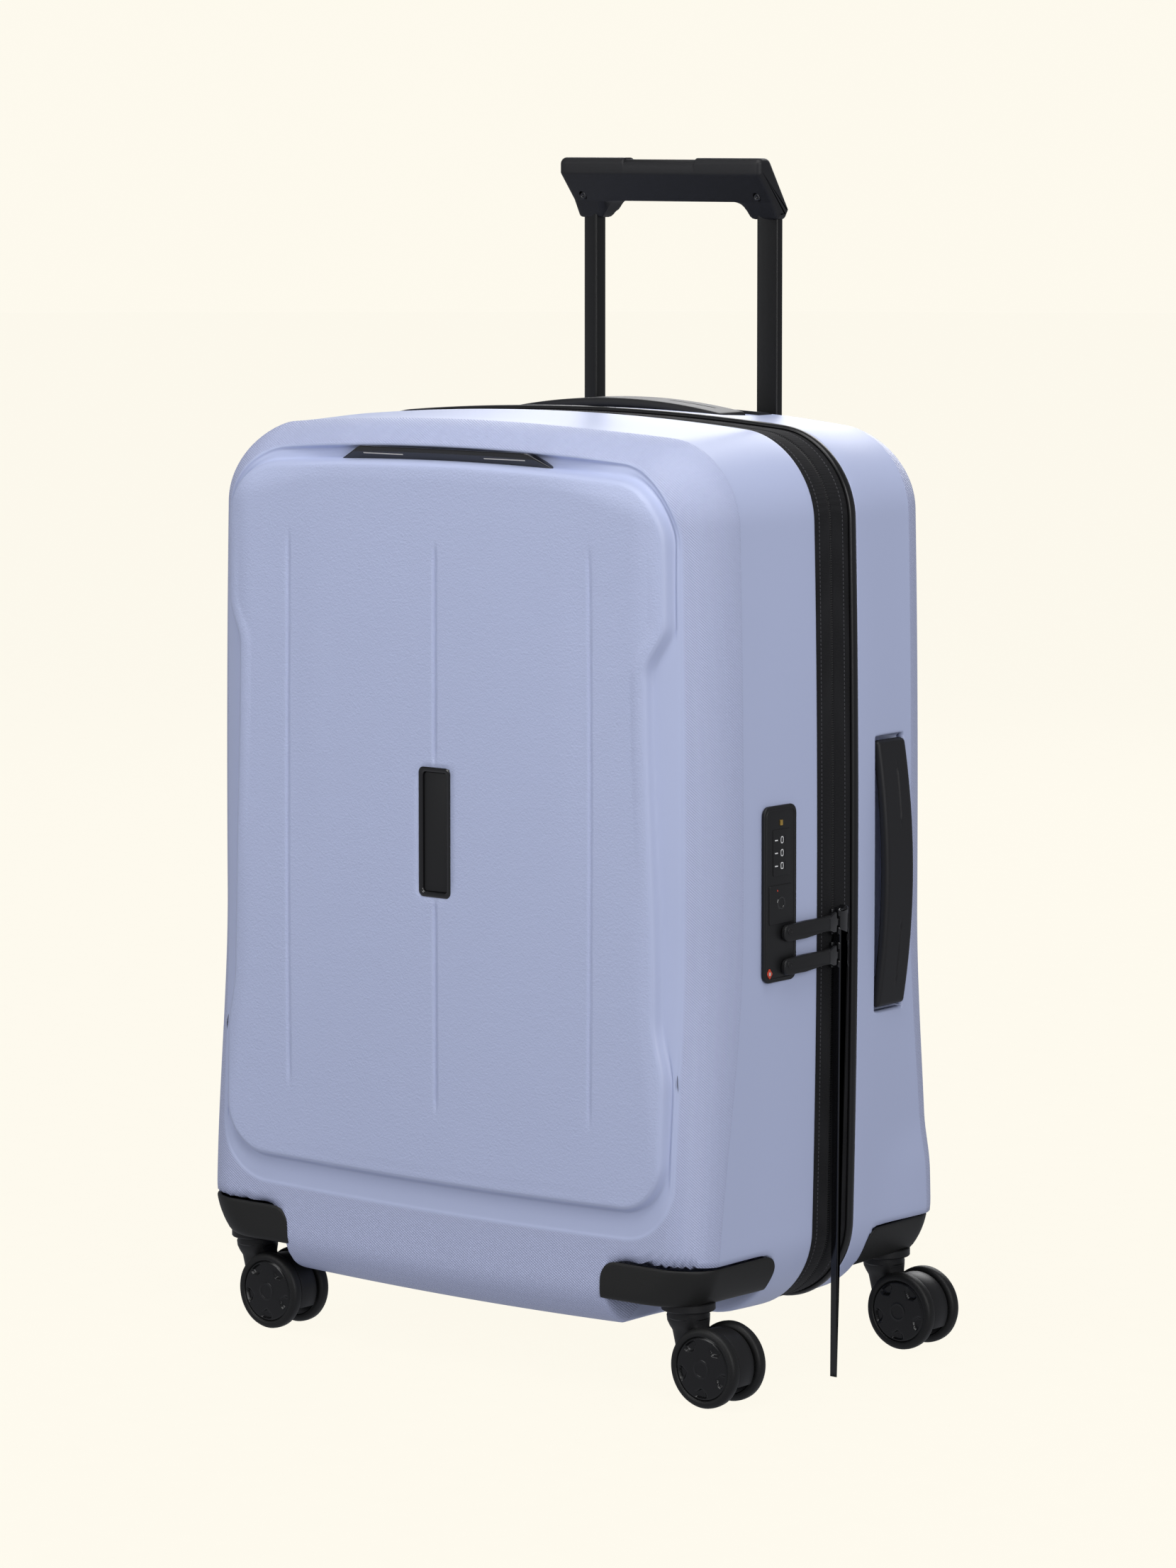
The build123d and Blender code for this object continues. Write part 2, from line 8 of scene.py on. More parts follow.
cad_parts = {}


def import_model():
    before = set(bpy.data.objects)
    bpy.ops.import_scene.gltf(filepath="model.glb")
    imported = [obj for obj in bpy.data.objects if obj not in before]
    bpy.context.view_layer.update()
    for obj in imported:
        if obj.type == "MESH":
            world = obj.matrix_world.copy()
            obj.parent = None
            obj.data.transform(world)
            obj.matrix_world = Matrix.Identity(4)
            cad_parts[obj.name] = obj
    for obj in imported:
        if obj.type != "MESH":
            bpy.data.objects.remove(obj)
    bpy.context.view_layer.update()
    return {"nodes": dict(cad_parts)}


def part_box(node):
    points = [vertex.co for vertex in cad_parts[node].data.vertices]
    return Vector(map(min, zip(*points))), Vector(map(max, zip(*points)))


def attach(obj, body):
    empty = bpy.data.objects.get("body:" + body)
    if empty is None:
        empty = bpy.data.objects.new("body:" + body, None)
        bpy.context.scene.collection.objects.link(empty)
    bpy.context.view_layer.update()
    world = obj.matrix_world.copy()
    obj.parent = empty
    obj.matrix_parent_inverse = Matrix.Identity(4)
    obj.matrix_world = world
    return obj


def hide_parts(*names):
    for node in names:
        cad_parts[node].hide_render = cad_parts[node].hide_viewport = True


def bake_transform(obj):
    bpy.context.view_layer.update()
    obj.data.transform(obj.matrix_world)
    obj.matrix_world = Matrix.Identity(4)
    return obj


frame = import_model()
MM = 0.001


def box_mm(node):
    """Lowest and highest corner of a CAD node, in millimetres."""
    low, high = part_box(node)
    return np.array(low) / MM, np.array(high) / MM


# ------------------------------------------------------------------ driving sizes, millimetres

shell_low, shell_high = box_mm("rear_shell")
front_low, front_high = box_mm("front_shell")
HALF_WIDTH = shell_high[0]
CROWN_Z, BASE_Z = shell_high[2], shell_low[2]
MID_Z = (CROWN_Z + BASE_Z) / 2
HALF_HEIGHT = (CROWN_Z - BASE_Z) / 2
PANEL_RISE = 4.5
FRONT_Y, BACK_Y = front_low[1] + PANEL_RISE, shell_high[1]
FRONT_RIM_Y, REAR_RIM_Y = front_high[1], shell_low[1]
CROWN_RISE, SIDE_BOW, BASE_BOW = 14.0, 5.0, 6.0
CORNER_R = 60.0
EDGE_R, BASE_EDGE_R, TOP_EDGE_R = 60.0, 30.0, 42.0
RIDGE = math.radians(12)
DRAFT = 2.5
STEM_X, STEM_Y, TRAIL, WHEEL_R = 205.2, 118.7, 26.7, 28.5
WELL_X, WELL_Y, WELL_TOP_Z = 153.0, 57.0, 97.0
GUARD_Z = 69.5
GUARD_LEVEL_BOW = 5.3
FEET_Z = ((176, 231), (539, 582))
CUP_DEPTH = 20.0
LINING_GAP = 3.7


# ------------------------------------------------------------------ mesh helpers

def new_object(name, verts, faces, smooth=True):
    """Mesh object from millimetre points."""
    mesh = bpy.data.meshes.new(name)
    mesh.from_pydata((np.asarray(verts, float) * MM).tolist(), [], [tuple(int(i) for i in f) for f in faces])
    mesh.validate()
    mesh.update()
    if smooth:
        mesh.shade_smooth()
    obj = bpy.data.objects.new(name, mesh)
    bpy.context.scene.collection.objects.link(obj)
    return obj


def finish_piece(obj, material, body, replaces=()):
    obj.data.materials.append(material)
    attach(obj, body)
    if replaces:
        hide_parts(*replaces)
    return obj


def grid_faces(rows, cols, closed=False):
    """Quads of a rows x cols grid of points; closed joins the last column to the first."""
    faces = []
    last = cols if closed else cols - 1
    for r in range(rows - 1):
        for c in range(last):
            d = (c + 1) % cols
            faces.append((r * cols + c, r * cols + d, (r + 1) * cols + d, (r + 1) * cols + c))
    return faces


def apply_modifiers(obj):
    """Bake the modifier stack into the mesh."""
    depsgraph = bpy.context.evaluated_depsgraph_get()
    mesh = bpy.data.meshes.new_from_object(obj.evaluated_get(depsgraph))
    obj.modifiers.clear()
    old, obj.data = obj.data, mesh
    bpy.data.meshes.remove(old)
    return obj


def fix_normals(obj):
    bm = bmesh.new()
    bm.from_mesh(obj.data)
    bmesh.ops.recalc_face_normals(bm, faces=bm.faces)
    bm.to_mesh(obj.data)
    bm.free()


def smoothstep(low, high, x):
    t = np.clip((np.asarray(x, float) - low) / (high - low), 0, 1)
    return t * t * (3 - 2 * t)


def ramp(x, width):
    """0 below -width, x above width, and a smooth bend between."""
    x = np.asarray(x, float)
    return np.where(x < -width, 0, np.where(x > width, x, (x + width) ** 2 / (4 * width)))


def smooth_min(a, b, k):
    h = np.clip(0.5 + 0.5 * (b - a) / k, 0, 1)
    return b * (1 - h) + a * h - k * h * (1 - h)


# ------------------------------------------------------------------ form of the case

def bow(points):
    """Bends a straight-sided case outline (x, z) into the real one, bowed on all four sides."""
    x, z = points[..., 0], points[..., 1]
    zn = (z - MID_Z) / HALF_HEIGHT
    across = (x / HALF_WIDTH) ** 2
    new_z = z - CROWN_RISE * across * np.maximum(zn, 0) + BASE_BOW * across * np.maximum(-zn, 0)
    return np.stack([x * (1 - SIDE_BOW / HALF_WIDTH * zn ** 2), new_z], -1)


def outline_depth(x, z):
    """How far a point of the straight-sided outline is inside it."""
    half_x, half_z = HALF_WIDTH - CORNER_R, HALF_HEIGHT - CORNER_R
    qx, qz = np.abs(x) - half_x, np.abs(z - MID_Z) - half_z
    outside = np.hypot(np.maximum(qx, 0), np.maximum(qz, 0))
    return CORNER_R - outside - np.minimum(np.maximum(qx, qz), 0)


def edge_radius(x, z):
    """Radius between the face and the sides: tighter along the base and the middle of the top."""
    top = smoothstep(560, 650, z) * (1 - smoothstep(90, 215, np.abs(x)))
    return BASE_EDGE_R + (EDGE_R - BASE_EDGE_R) * smoothstep(60, 330, z) - (EDGE_R - TOP_EDGE_R) * top


def face_drop(x, z):
    """How far the face falls back from flat at a point, towards the rounded edge."""
    radius = edge_radius(x, z)
    inset = np.clip(outline_depth(x, z) - DRAFT, 0, radius * math.cos(RIDGE))
    return radius - radius * np.sqrt(1 - (math.cos(RIDGE) - inset / radius) ** 2)


class Outline:
    """Points round the case, counter-clockwise from the middle of the lower-right corner."""

    def __init__(self, columns, rows, corner_cells):
        self.columns, self.rows, self.cells = np.asarray(columns), np.asarray(rows), corner_cells

    def loop(self, left, right, low, high, r_low, r_high):
        """Rounded box; the straight stretches follow the shared column and row shares."""
        k = self.cells
        quarter = np.linspace(0, math.pi / 4, k + 1)

        def arc(cx, cz, r, start):
            a = start + quarter
            return np.stack([cx + r * np.cos(a), cz + r * np.sin(a)], -1)

        def line(p, q, shares):
            t = (shares + 1) / 2
            return np.outer(1 - t, p) + np.outer(t, q)

        pi = math.pi
        right_side = [arc(right - r_low, low + r_low, r_low, -pi / 4),
                      line((right, low + r_low), (right, high - r_high), self.rows)[1:-1],
                      arc(right - r_high, high - r_high, r_high, 0)]
        top_side = [arc(right - r_high, high - r_high, r_high, pi / 4)[1:],
                    line((right - r_high, high), (left + r_high, high), -self.columns[::-1])[1:-1],
                    arc(left + r_high, high - r_high, r_high, pi / 2)]
        left_side = [arc(left + r_high, high - r_high, r_high, 3 * pi / 4)[1:],
                     line((left, high - r_high), (left, low + r_low), -self.rows[::-1])[1:-1],
                     arc(left + r_low, low + r_low, r_low, pi)]
        base_side = [arc(left + r_low, low + r_low, r_low, 5 * pi / 4)[1:],
                     line((left + r_low, low), (right - r_low, low), self.columns)[1:-1],
                     arc(right - r_low, low + r_low, r_low, 3 * pi / 2)[:-1]]
        sides = [np.concatenate(s) for s in (right_side, top_side, left_side, base_side)]
        self.lengths = [len(s) for s in sides]
        return np.concatenate(sides)

    def inset(self, depth):
        """Outline at one depth inside the case."""
        r = CORNER_R - depth
        return self.loop(-HALF_WIDTH + depth, HALF_WIDTH - depth, BASE_Z + depth, CROWN_Z - depth, r, r)


def clustered(low, high, step, features, fine, reach):
    """Increasing positions with a coarse step, and a fine step near each feature."""
    places, x = [low], low
    while x < high - 1e-6:
        near = min([abs(x - f) for f in features], default=1e9)
        x += fine if near < reach else min(step, max(fine, (near - reach) * 0.6))
        places.append(min(x, high))
    if len(places) > 2 and places[-1] - places[-2] < fine * 0.5:
        places.pop(-2)
    return np.array(places)


def symmetric(half):
    return np.concatenate([-half[::-1], half[1:]])


def rect_z(actual):
    """Height on the straight-sided outline that the bow carries to a height on the side of the case."""
    z = np.linspace(BASE_Z, CROWN_Z, 400)
    moved = bow(np.stack([np.full_like(z, HALF_WIDTH), z], -1))[:, 1]
    return float(np.interp(actual, moved, z))


HANDLE_Y = 74.0
side_cup_low, side_cup_high = box_mm("side_handle_cup")
top_cup_low, top_cup_high = box_mm("top_handle_cup")
HOUSING_HALF, HOUSING_FRONT_Y, HOUSING_FLOOR_Z = 101.0, 100.0, 640.0
STRAIGHT_X = HALF_WIDTH - CORNER_R
STRAIGHT_Z = HALF_HEIGHT - CORNER_R

column_marks = [0.0, top_cup_high[0] * 1.021, 149.5, 152.5, 155.5, 158.5]
columns = symmetric(clustered(0, STRAIGHT_X, 7.0, column_marks, 1.2, 4.5)) / STRAIGHT_X
row_marks = [rect_z(z) for z in (side_cup_low[2], side_cup_high[2])]
rows = (clustered(BASE_Z + CORNER_R, CROWN_Z - CORNER_R, 5.0, row_marks, 1.3, 3.5) - MID_Z) / STRAIGHT_Z
outline = Outline(columns, rows, 10)


def pinch(z):
    """How far the sides of the raised panel pull in at a height."""
    upper = 15 * (1 - smoothstep(520, 558, z))
    lower = smoothstep(222, 272, z)
    return upper * lower * (0.55 + 0.45 * smoothstep(260, 510, z))


def panel_loop(shrink):
    """Edge of the raised panel."""
    half = 209 - shrink
    loop = outline.loop(-half, half, 132 + shrink, 659.3 - shrink, 38 - shrink, 44 - shrink)
    x, z = loop[:, 0].copy(), loop[:, 1]
    x -= np.sign(x) * pinch(z) * smoothstep(120, 180, np.abs(x))
    return np.stack([x, z], -1)


def border_loop(shrink):
    """Outer edge of the smooth channel round the panel."""
    half = 215 - shrink
    return outline.loop(-half, half, 112 + shrink, 669 - shrink, 42 - shrink, 54 - shrink)


def side_inset(y, rim_y, face_y):
    """Draft of the side wall at a depth."""
    return DRAFT * smoothstep(0, 1, abs(y - rim_y) / (abs(face_y - rim_y) - EDGE_R * (1 - math.sin(RIDGE))))


def wall_rings(rim_y, face_y, levels, arc_steps, last_inset):
    """Rings from the rim along the side wall and round the edge: straight-sided outline points and depth."""
    sign = 1 if face_y > rim_y else -1
    base = outline.inset(0)
    normal = (base - outline.inset(1.0))
    radius = edge_radius(base[:, 0], base[:, 1])
    rings = []
    for y, extra in levels:
        inset = side_inset(y, rim_y, face_y) + extra
        rings.append((base - normal * inset, np.full(len(base), y)))
    start_y = face_y - sign * radius * (1 - math.sin(RIDGE))
    final = np.arccos(math.cos(RIDGE) - (last_inset - DRAFT) / radius)
    previous = levels[-1][0]
    for y_share in (0.35, 0.75, 0.97):
        rings.append((base - normal * DRAFT, previous + (start_y - previous) * y_share))
    for step in range(arc_steps + 1):
        angle = RIDGE + (final - RIDGE) * step / arc_steps
        inset = DRAFT + radius * (math.cos(RIDGE) - np.cos(angle))
        forward = radius * (np.sin(angle) - math.sin(RIDGE))
        rings.append((base - normal * inset[:, None], start_y + sign * forward))
    return rings


def lerp_rings(first, second, shares):
    return [first + (second - first) * s for s in shares]


def fill_inside(ring, index, start, end_weight):
    """Grid inside a ring, straight columns in the middle; returns its points and the index grid."""
    n_rows = outline.lengths[0]
    n_cols = outline.lengths[1] + 1
    total = len(ring)
    right = np.arange(n_rows)
    top = n_rows - 1 + np.arange(n_cols)
    left = top[-1] + np.arange(n_rows)
    base = (left[-1] + np.arange(n_cols)) % total
    right_p, top_p = ring[right], ring[top][::-1]
    left_p, base_p = ring[left % total][::-1], ring[base]
    v = (right_p[:, 1] - right_p[0, 1]) / (right_p[-1, 1] - right_p[0, 1])
    u = (base_p[:, 0] - base_p[0, 0]) / (base_p[-1, 0] - base_p[0, 0])
    plain = (1 - v)[:, None, None] * base_p[None] + v[:, None, None] * top_p[None]
    pull_right = smoothstep(1 - end_weight, 1, u)[None, :, None]
    pull_left = smoothstep(1 - end_weight, 1, 1 - u)[None, :, None]
    to_right, to_left = right_p[:, None] - plain[:, -1:], left_p[:, None] - plain[:, :1]
    points = plain + pull_right * to_right + pull_left * to_left
    grid = np.full((n_rows, n_cols), -1)
    grid[:, -1] = index + right
    grid[-1, ::-1] = index + top
    grid[::-1, 0] = index + left % total
    grid[0, :] = index + base
    inner = points[1:-1, 1:-1].reshape(-1, 2)
    grid[1:-1, 1:-1] = start + np.arange(len(inner)).reshape(n_rows - 2, n_cols - 2)
    return inner, grid


def well_exit(points, sx, sy, top, mouth):
    """Moves surface points that lie in a wheel well inwards, on to its walls and ceiling."""
    x, y, z = points[:, 0] * sx, points[:, 1] * sy, points[:, 2]
    rise = 0.6
    a, b, c = x - WELL_X, y - WELL_Y, (top - z) / rise
    travel = ramp(smooth_min(smooth_min(a, b, 14.0), c, 22.0), mouth)
    moved = points.copy()
    moved[:, 0] -= sx * travel
    moved[:, 1] -= sy * travel
    moved[:, 2] += rise * travel
    return moved


def foot_bumps(points):
    """Moulded feet on the left side: how far each stands out."""
    x, y, z = points[:, 0], points[:, 1], points[:, 2]
    height = np.zeros(len(points))
    for low, high in FEET_Z:
        along = smoothstep(low - 3, low + 6, z) * (1 - smoothstep(high - 6, high + 3, z))
        depth = np.abs(np.abs(y) - 68)
        height = np.maximum(height, 3.6 * along * (1 - smoothstep(20, 29, depth)))
    return np.where(x < -HALF_WIDTH + 20, height, 0)


def straight_sided(points_2d, y):
    xz = bow(points_2d)
    return np.stack([xz[:, 0], np.broadcast_to(y, len(xz)), xz[:, 1]], -1)


# Depths of the rings along each side wall with their rounding at the rim: close together where wells,
# guards and handle cups begin.
FRONT_LEVELS = [(-16.0, 1.0), (-16.2, 0.4), (-16.9, 0.05)]
FRONT_LEVELS += [(y, 0) for y in (-18.5, -23, -29, -35, -39, -43, -48, -52, -55, -57, -59, -62, -67, -73,
                                  -80, -85, -89, -92)]
REAR_LEVELS = [(33.6, 1.2), (33.9, 0.4), (34.6, 0.05)]
REAR_LEVELS += [(y, 0) for y in (36, 40, 45, 49.5, 52.0, 52.9, 53.8, 54.7, 55.9, 57.5, 60, 65, 71, 77, 83, 88,
                                 91.2, 92.4, 93.3, 94.2, 95.1, 96.3)]
INSERT_Z = (box_mm("centre_insert_frame")[0][2] + box_mm("centre_insert_frame")[1][2]) / 2


def index_faces(grid):
    return [(a, b, c, d) for a, b, c, d in zip(grid[:-1, :-1].ravel(), grid[:-1, 1:].ravel(),
                                               grid[1:, 1:].ravel(), grid[1:, :-1].ravel())]


def panel_relief(x, z, at_front):
    """Grooves and soft creases pressed into the raised panel."""
    def line(at, half, low, high, fade):
        across = 1 - smoothstep(half * 0.3, half, np.abs(x - at))
        return across * smoothstep(low, low + fade, z) * (1 - smoothstep(high - fade, high, z))

    depth = 1.6 * (line(0, 2.0, 187, 342, 7) + line(0, 2.0, 440, 598, 7))
    depth += 1.1 * (line(-143, 2.2, 185, 612, 20) + line(143, 2.2, 185, 612, 20))
    facet = smoothstep(114, 140, np.abs(x)) * smoothstep(250, 480, z) * (1 - smoothstep(560, 650, z))
    seat = 7 * (1 - smoothstep(11.5, 13.5, np.abs(x))) * (1 - smoothstep(43, 45.5, np.abs(z - INSERT_Z)))
    return depth + 0.7 * facet + seat * at_front


# Steps down into the channel and up on to the panel: inset, rise, and share of the brow's depth.
CHANNEL_EDGE = ((0, -0.02, 0.02), (0.7, -0.15, 0.18), (1.5, -0.4, 0.55), (2.4, -0.5, 0.88), (3.6, -0.55, 1))
PANEL_EDGE = ((-0.9, -1.7, 1), (-0.1, -0.9, 0.9), (0.7, 0.7, 0.62), (1.5, 2.4, 0.3), (2.3, 3.6, 0.12),
              (3.2, 4.2, 0.03), (4.6, PANEL_RISE, 0), (7, PANEL_RISE, 0), (12, PANEL_RISE, 0))


def shell_surface(rim_y, face_y, levels, badge):
    """Outer surface of one shell half: points, faces, and where the leather grain and the knurl lie."""
    sign = 1 if face_y > rim_y else -1
    rings = wall_rings(rim_y, face_y, levels, 10, 10.0)
    points = [straight_sided(p, y) for p, y in rings]
    knurl = [np.full(len(p), 1.0 if i >= len(rings) - 11 else 0.0) for i, (p, y) in enumerate(rings)]
    last = rings[-1][0]
    loops = lerp_rings(last, border_loop(-2), (0.12, 0.24, 0.36, 0.48, 0.6, 0.72, 0.84, 0.93, 1.0))
    raised = [0.0] * len(loops)
    sunk = [0.0] * len(loops)
    knurl += [np.ones(len(last))] * len(loops)
    for shrink, rise, share in CHANNEL_EDGE:
        loops.append(border_loop(shrink))
        raised.append(rise)
        sunk.append(share)
    foot = panel_loop(-2.0)
    loops += lerp_rings(loops[-1], foot, (0.4, 0.75, 1.0))
    raised += [-1.0, -1.5, -1.8]
    sunk += [1, 1, 1]
    for shrink, rise, share in PANEL_EDGE:
        loops.append(panel_loop(shrink))
        raised.append(rise)
        sunk.append(share)
    knurl += [np.zeros(len(last))] * (len(loops) - len(knurl) + len(rings))
    grain = [np.zeros(len(last))] * (len(rings) + len(loops) - 3) + [np.ones(len(last))] * 3
    for loop, rise, share in zip(loops, raised, sunk):
        x, z = loop[:, 0], loop[:, 1]
        brow = smoothstep(575, 652, z) * (6.0 * (1 - smoothstep(85, 185, np.abs(x))) + 1.8)
        out = rise - share * (brow if badge else 0)
        points.append(straight_sided(loop, face_y + sign * (out - face_drop(x, z))))
    ring_count, n = len(points), len(last)
    inner, grid = fill_inside(loops[-1], (ring_count - 1) * n, ring_count * n, 0.22)
    x, z = inner[:, 0], inner[:, 1]
    crown = 0.8 * (1 - (x / 200) ** 2) * (1 - ((z - 395) / 270) ** 2)
    out = PANEL_RISE + crown - panel_relief(x, z, badge) - face_drop(x, z)
    points.append(straight_sided(inner, face_y + sign * out))
    faces = grid_faces(ring_count, n, closed=True) + index_faces(grid)
    leather = np.concatenate(grain + [np.ones(len(inner))])
    return np.concatenate(points), faces, leather, np.concatenate(knurl + [np.zeros(len(inner))])


def pressed_wells(verts, end_sign):
    """Both wheel wells of a shell half."""
    for sx in (-1, 1):
        mouth = np.where(verts[:, 2] < GUARD_Z, 4.0, 1.2)
        verts = well_exit(verts, sx, end_sign, WELL_TOP_Z + 1.6, mouth)
    return verts


def window(value, low, high, run_in=2.2, run_out=2.2):
    """1 between two values, with a bevel outside each."""
    return smoothstep(low - run_in, low, value) * (1 - smoothstep(high, high + run_out, value))


def pressed_cups(verts):
    """Hollows under the two carry handles, and how deep each point went."""
    x, y, z = verts[:, 0], verts[:, 1], verts[:, 2]
    across = window(y, side_cup_low[1] + 9, side_cup_high[1] - 3, 8.0)
    side = window(z, side_cup_low[2] + 1.5, side_cup_high[2] - 1.5) * across * (x > 200)
    top = window(x, top_cup_low[0] + 1.5, top_cup_high[0] - 1.5) * across * (z > 640)
    moved = verts.copy()
    moved[:, 0] -= CUP_DEPTH * side
    moved[:, 2] -= CUP_DEPTH * top
    return moved, side, top


def split_faces(faces, chosen):
    """The chosen faces and the others as two lists."""
    mark = [all(chosen[i] for i in face) for face in faces]
    return [f for f, m in zip(faces, mark) if m], [f for f, m in zip(faces, mark) if not m]


def compact(verts, faces, fields=()):
    """Only the points that the faces use."""
    used = np.unique(np.array([i for face in faces for i in face]))
    renumber = np.zeros(len(verts), int)
    renumber[used] = np.arange(len(used))
    return verts[used], [tuple(renumber[list(face)]) for face in faces], [f[used] for f in fields]


def skin(name, verts, faces, flip, thickness, fields=None):
    """Sheet moulding that is thickened inwards."""
    fields = fields or {}
    verts, faces, values = compact(verts, faces, list(fields.values()))
    if flip:
        faces = [f[::-1] for f in faces]
    obj = new_object(name, verts, faces)
    for key, value in zip(fields, values):
        layer = obj.data.attributes.new(key, "FLOAT", "POINT")
        layer.data.foreach_set("value", np.asarray(value, np.float32))
    solid = obj.modifiers.new("wall", "SOLIDIFY")
    solid.thickness = thickness * MM
    solid.offset = -1
    solid.use_even_offset = False
    return obj


# ------------------------------------------------------------------ materials

def material(name):
    mat = bpy.data.materials.new(name)
    mat.use_nodes = True
    nodes = mat.node_tree.nodes
    nodes.clear()
    out = nodes.new("ShaderNodeOutputMaterial")
    shader = nodes.new("ShaderNodeBsdfPrincipled")
    mat.node_tree.links.new(shader.outputs[0], out.inputs[0])
    return mat, mat.node_tree, shader


def node(tree, kind, inputs=None, **settings):
    """New shader node; inputs maps socket names or numbers to values or other sockets."""
    made = tree.nodes.new(kind)
    for key, value in settings.items():
        setattr(made, key, value)
    for key, value in (inputs or {}).items():
        if isinstance(value, bpy.types.NodeSocket):
            tree.links.new(value, made.inputs[key])
        else:
            made.inputs[key].default_value = value
    return made


def colour_mix(tree, factor, low, high):
    """Output that goes from one colour, or colour socket, to another."""
    return node(tree, "ShaderNodeMix", {0: factor, 6: low, 7: high}, data_type="RGBA").outputs[2]


def arithmetic(tree, operation, a, b=0.0, clamp=False):
    return node(tree, "ShaderNodeMath", {0: a, 1: b}, operation=operation, use_clamp=clamp).outputs[0]


def srgb(r, g, b):
    """Linear colour of an 8-bit screen colour."""
    def linear(c):
        c /= 255
        return c / 12.92 if c <= 0.04045 else ((c + 0.055) / 1.055) ** 2.4
    return (linear(r), linear(g), linear(b), 1.0)


def shade(colour, factor):
    return tuple(c * factor for c in colour[:3]) + (1.0,)


def plastic(name, colour, roughness, grain_scale, grain_depth, colour_shift=0.06, specular=0.5, coat=0.0):
    """Moulded plastic: fine grain, a little colour and gloss variation."""
    mat, tree, shader = material(name)
    place = node(tree, "ShaderNodeTexCoord").outputs["Object"]
    grain = node(tree, "ShaderNodeTexNoise", {"Vector": place, "Scale": grain_scale, "Detail": 3.0})
    cloud = node(tree, "ShaderNodeTexNoise", {"Vector": place, "Scale": 9.0, "Detail": 3.0}).outputs["Fac"]
    base = colour_mix(tree, cloud, shade(colour, 1 - colour_shift), shade(colour, 1 + colour_shift))
    tree.links.new(base, shader.inputs["Base Color"])
    rough = node(tree, "ShaderNodeMapRange",
                 {"Value": cloud, "To Min": roughness - 0.05, "To Max": roughness + 0.05})
    tree.links.new(rough.outputs[0], shader.inputs["Roughness"])
    bump = node(tree, "ShaderNodeBump",
                {"Height": grain.outputs["Fac"], "Strength": 1.0, "Distance": grain_depth})
    tree.links.new(bump.outputs[0], shader.inputs["Normal"])
    shader.inputs["Specular IOR Level"].default_value = specular
    shader.inputs["Coat Weight"].default_value = coat
    return mat


def metal(name, colour, roughness):
    mat = plastic(name, colour, roughness, 600, 0.00002)
    mat.node_tree.nodes["Principled BSDF"].inputs["Metallic"].default_value = 1.0
    return mat


def woven(name, colour, pitch, depth, roughness=0.9):
    """Cloth: two crossing ribs of thread, with painted shade in the hollows between the ribs."""
    mat, tree, shader = material(name)
    place = node(tree, "ShaderNodeTexCoord").outputs["Object"]
    ribs = []
    for direction in ("X", "Z"):
        wave = node(tree, "ShaderNodeTexWave",
                    {"Vector": place, "Scale": 1 / pitch / 3.2, "Distortion": 0.3}, bands_direction=direction)
        ribs.append(wave.outputs["Fac"])
    weave = arithmetic(tree, "MAXIMUM", ribs[0], ribs[1])
    # Thread colour follows the rib height: darker in the hollows between ribs and lighter on their crests,
    # painted shade over the rib pattern.
    thread = colour_mix(tree, weave, shade(colour, 0.6), shade(colour, 1.15))
    tree.links.new(thread, shader.inputs["Base Color"])
    bump = node(tree, "ShaderNodeBump", {"Height": weave, "Strength": 1.0, "Distance": depth})
    tree.links.new(bump.outputs[0], shader.inputs["Normal"])
    shader.inputs["Roughness"].default_value = roughness
    shader.inputs["Sheen Weight"].default_value = 0.04
    shader.inputs["Specular IOR Level"].default_value = 0.2
    return mat


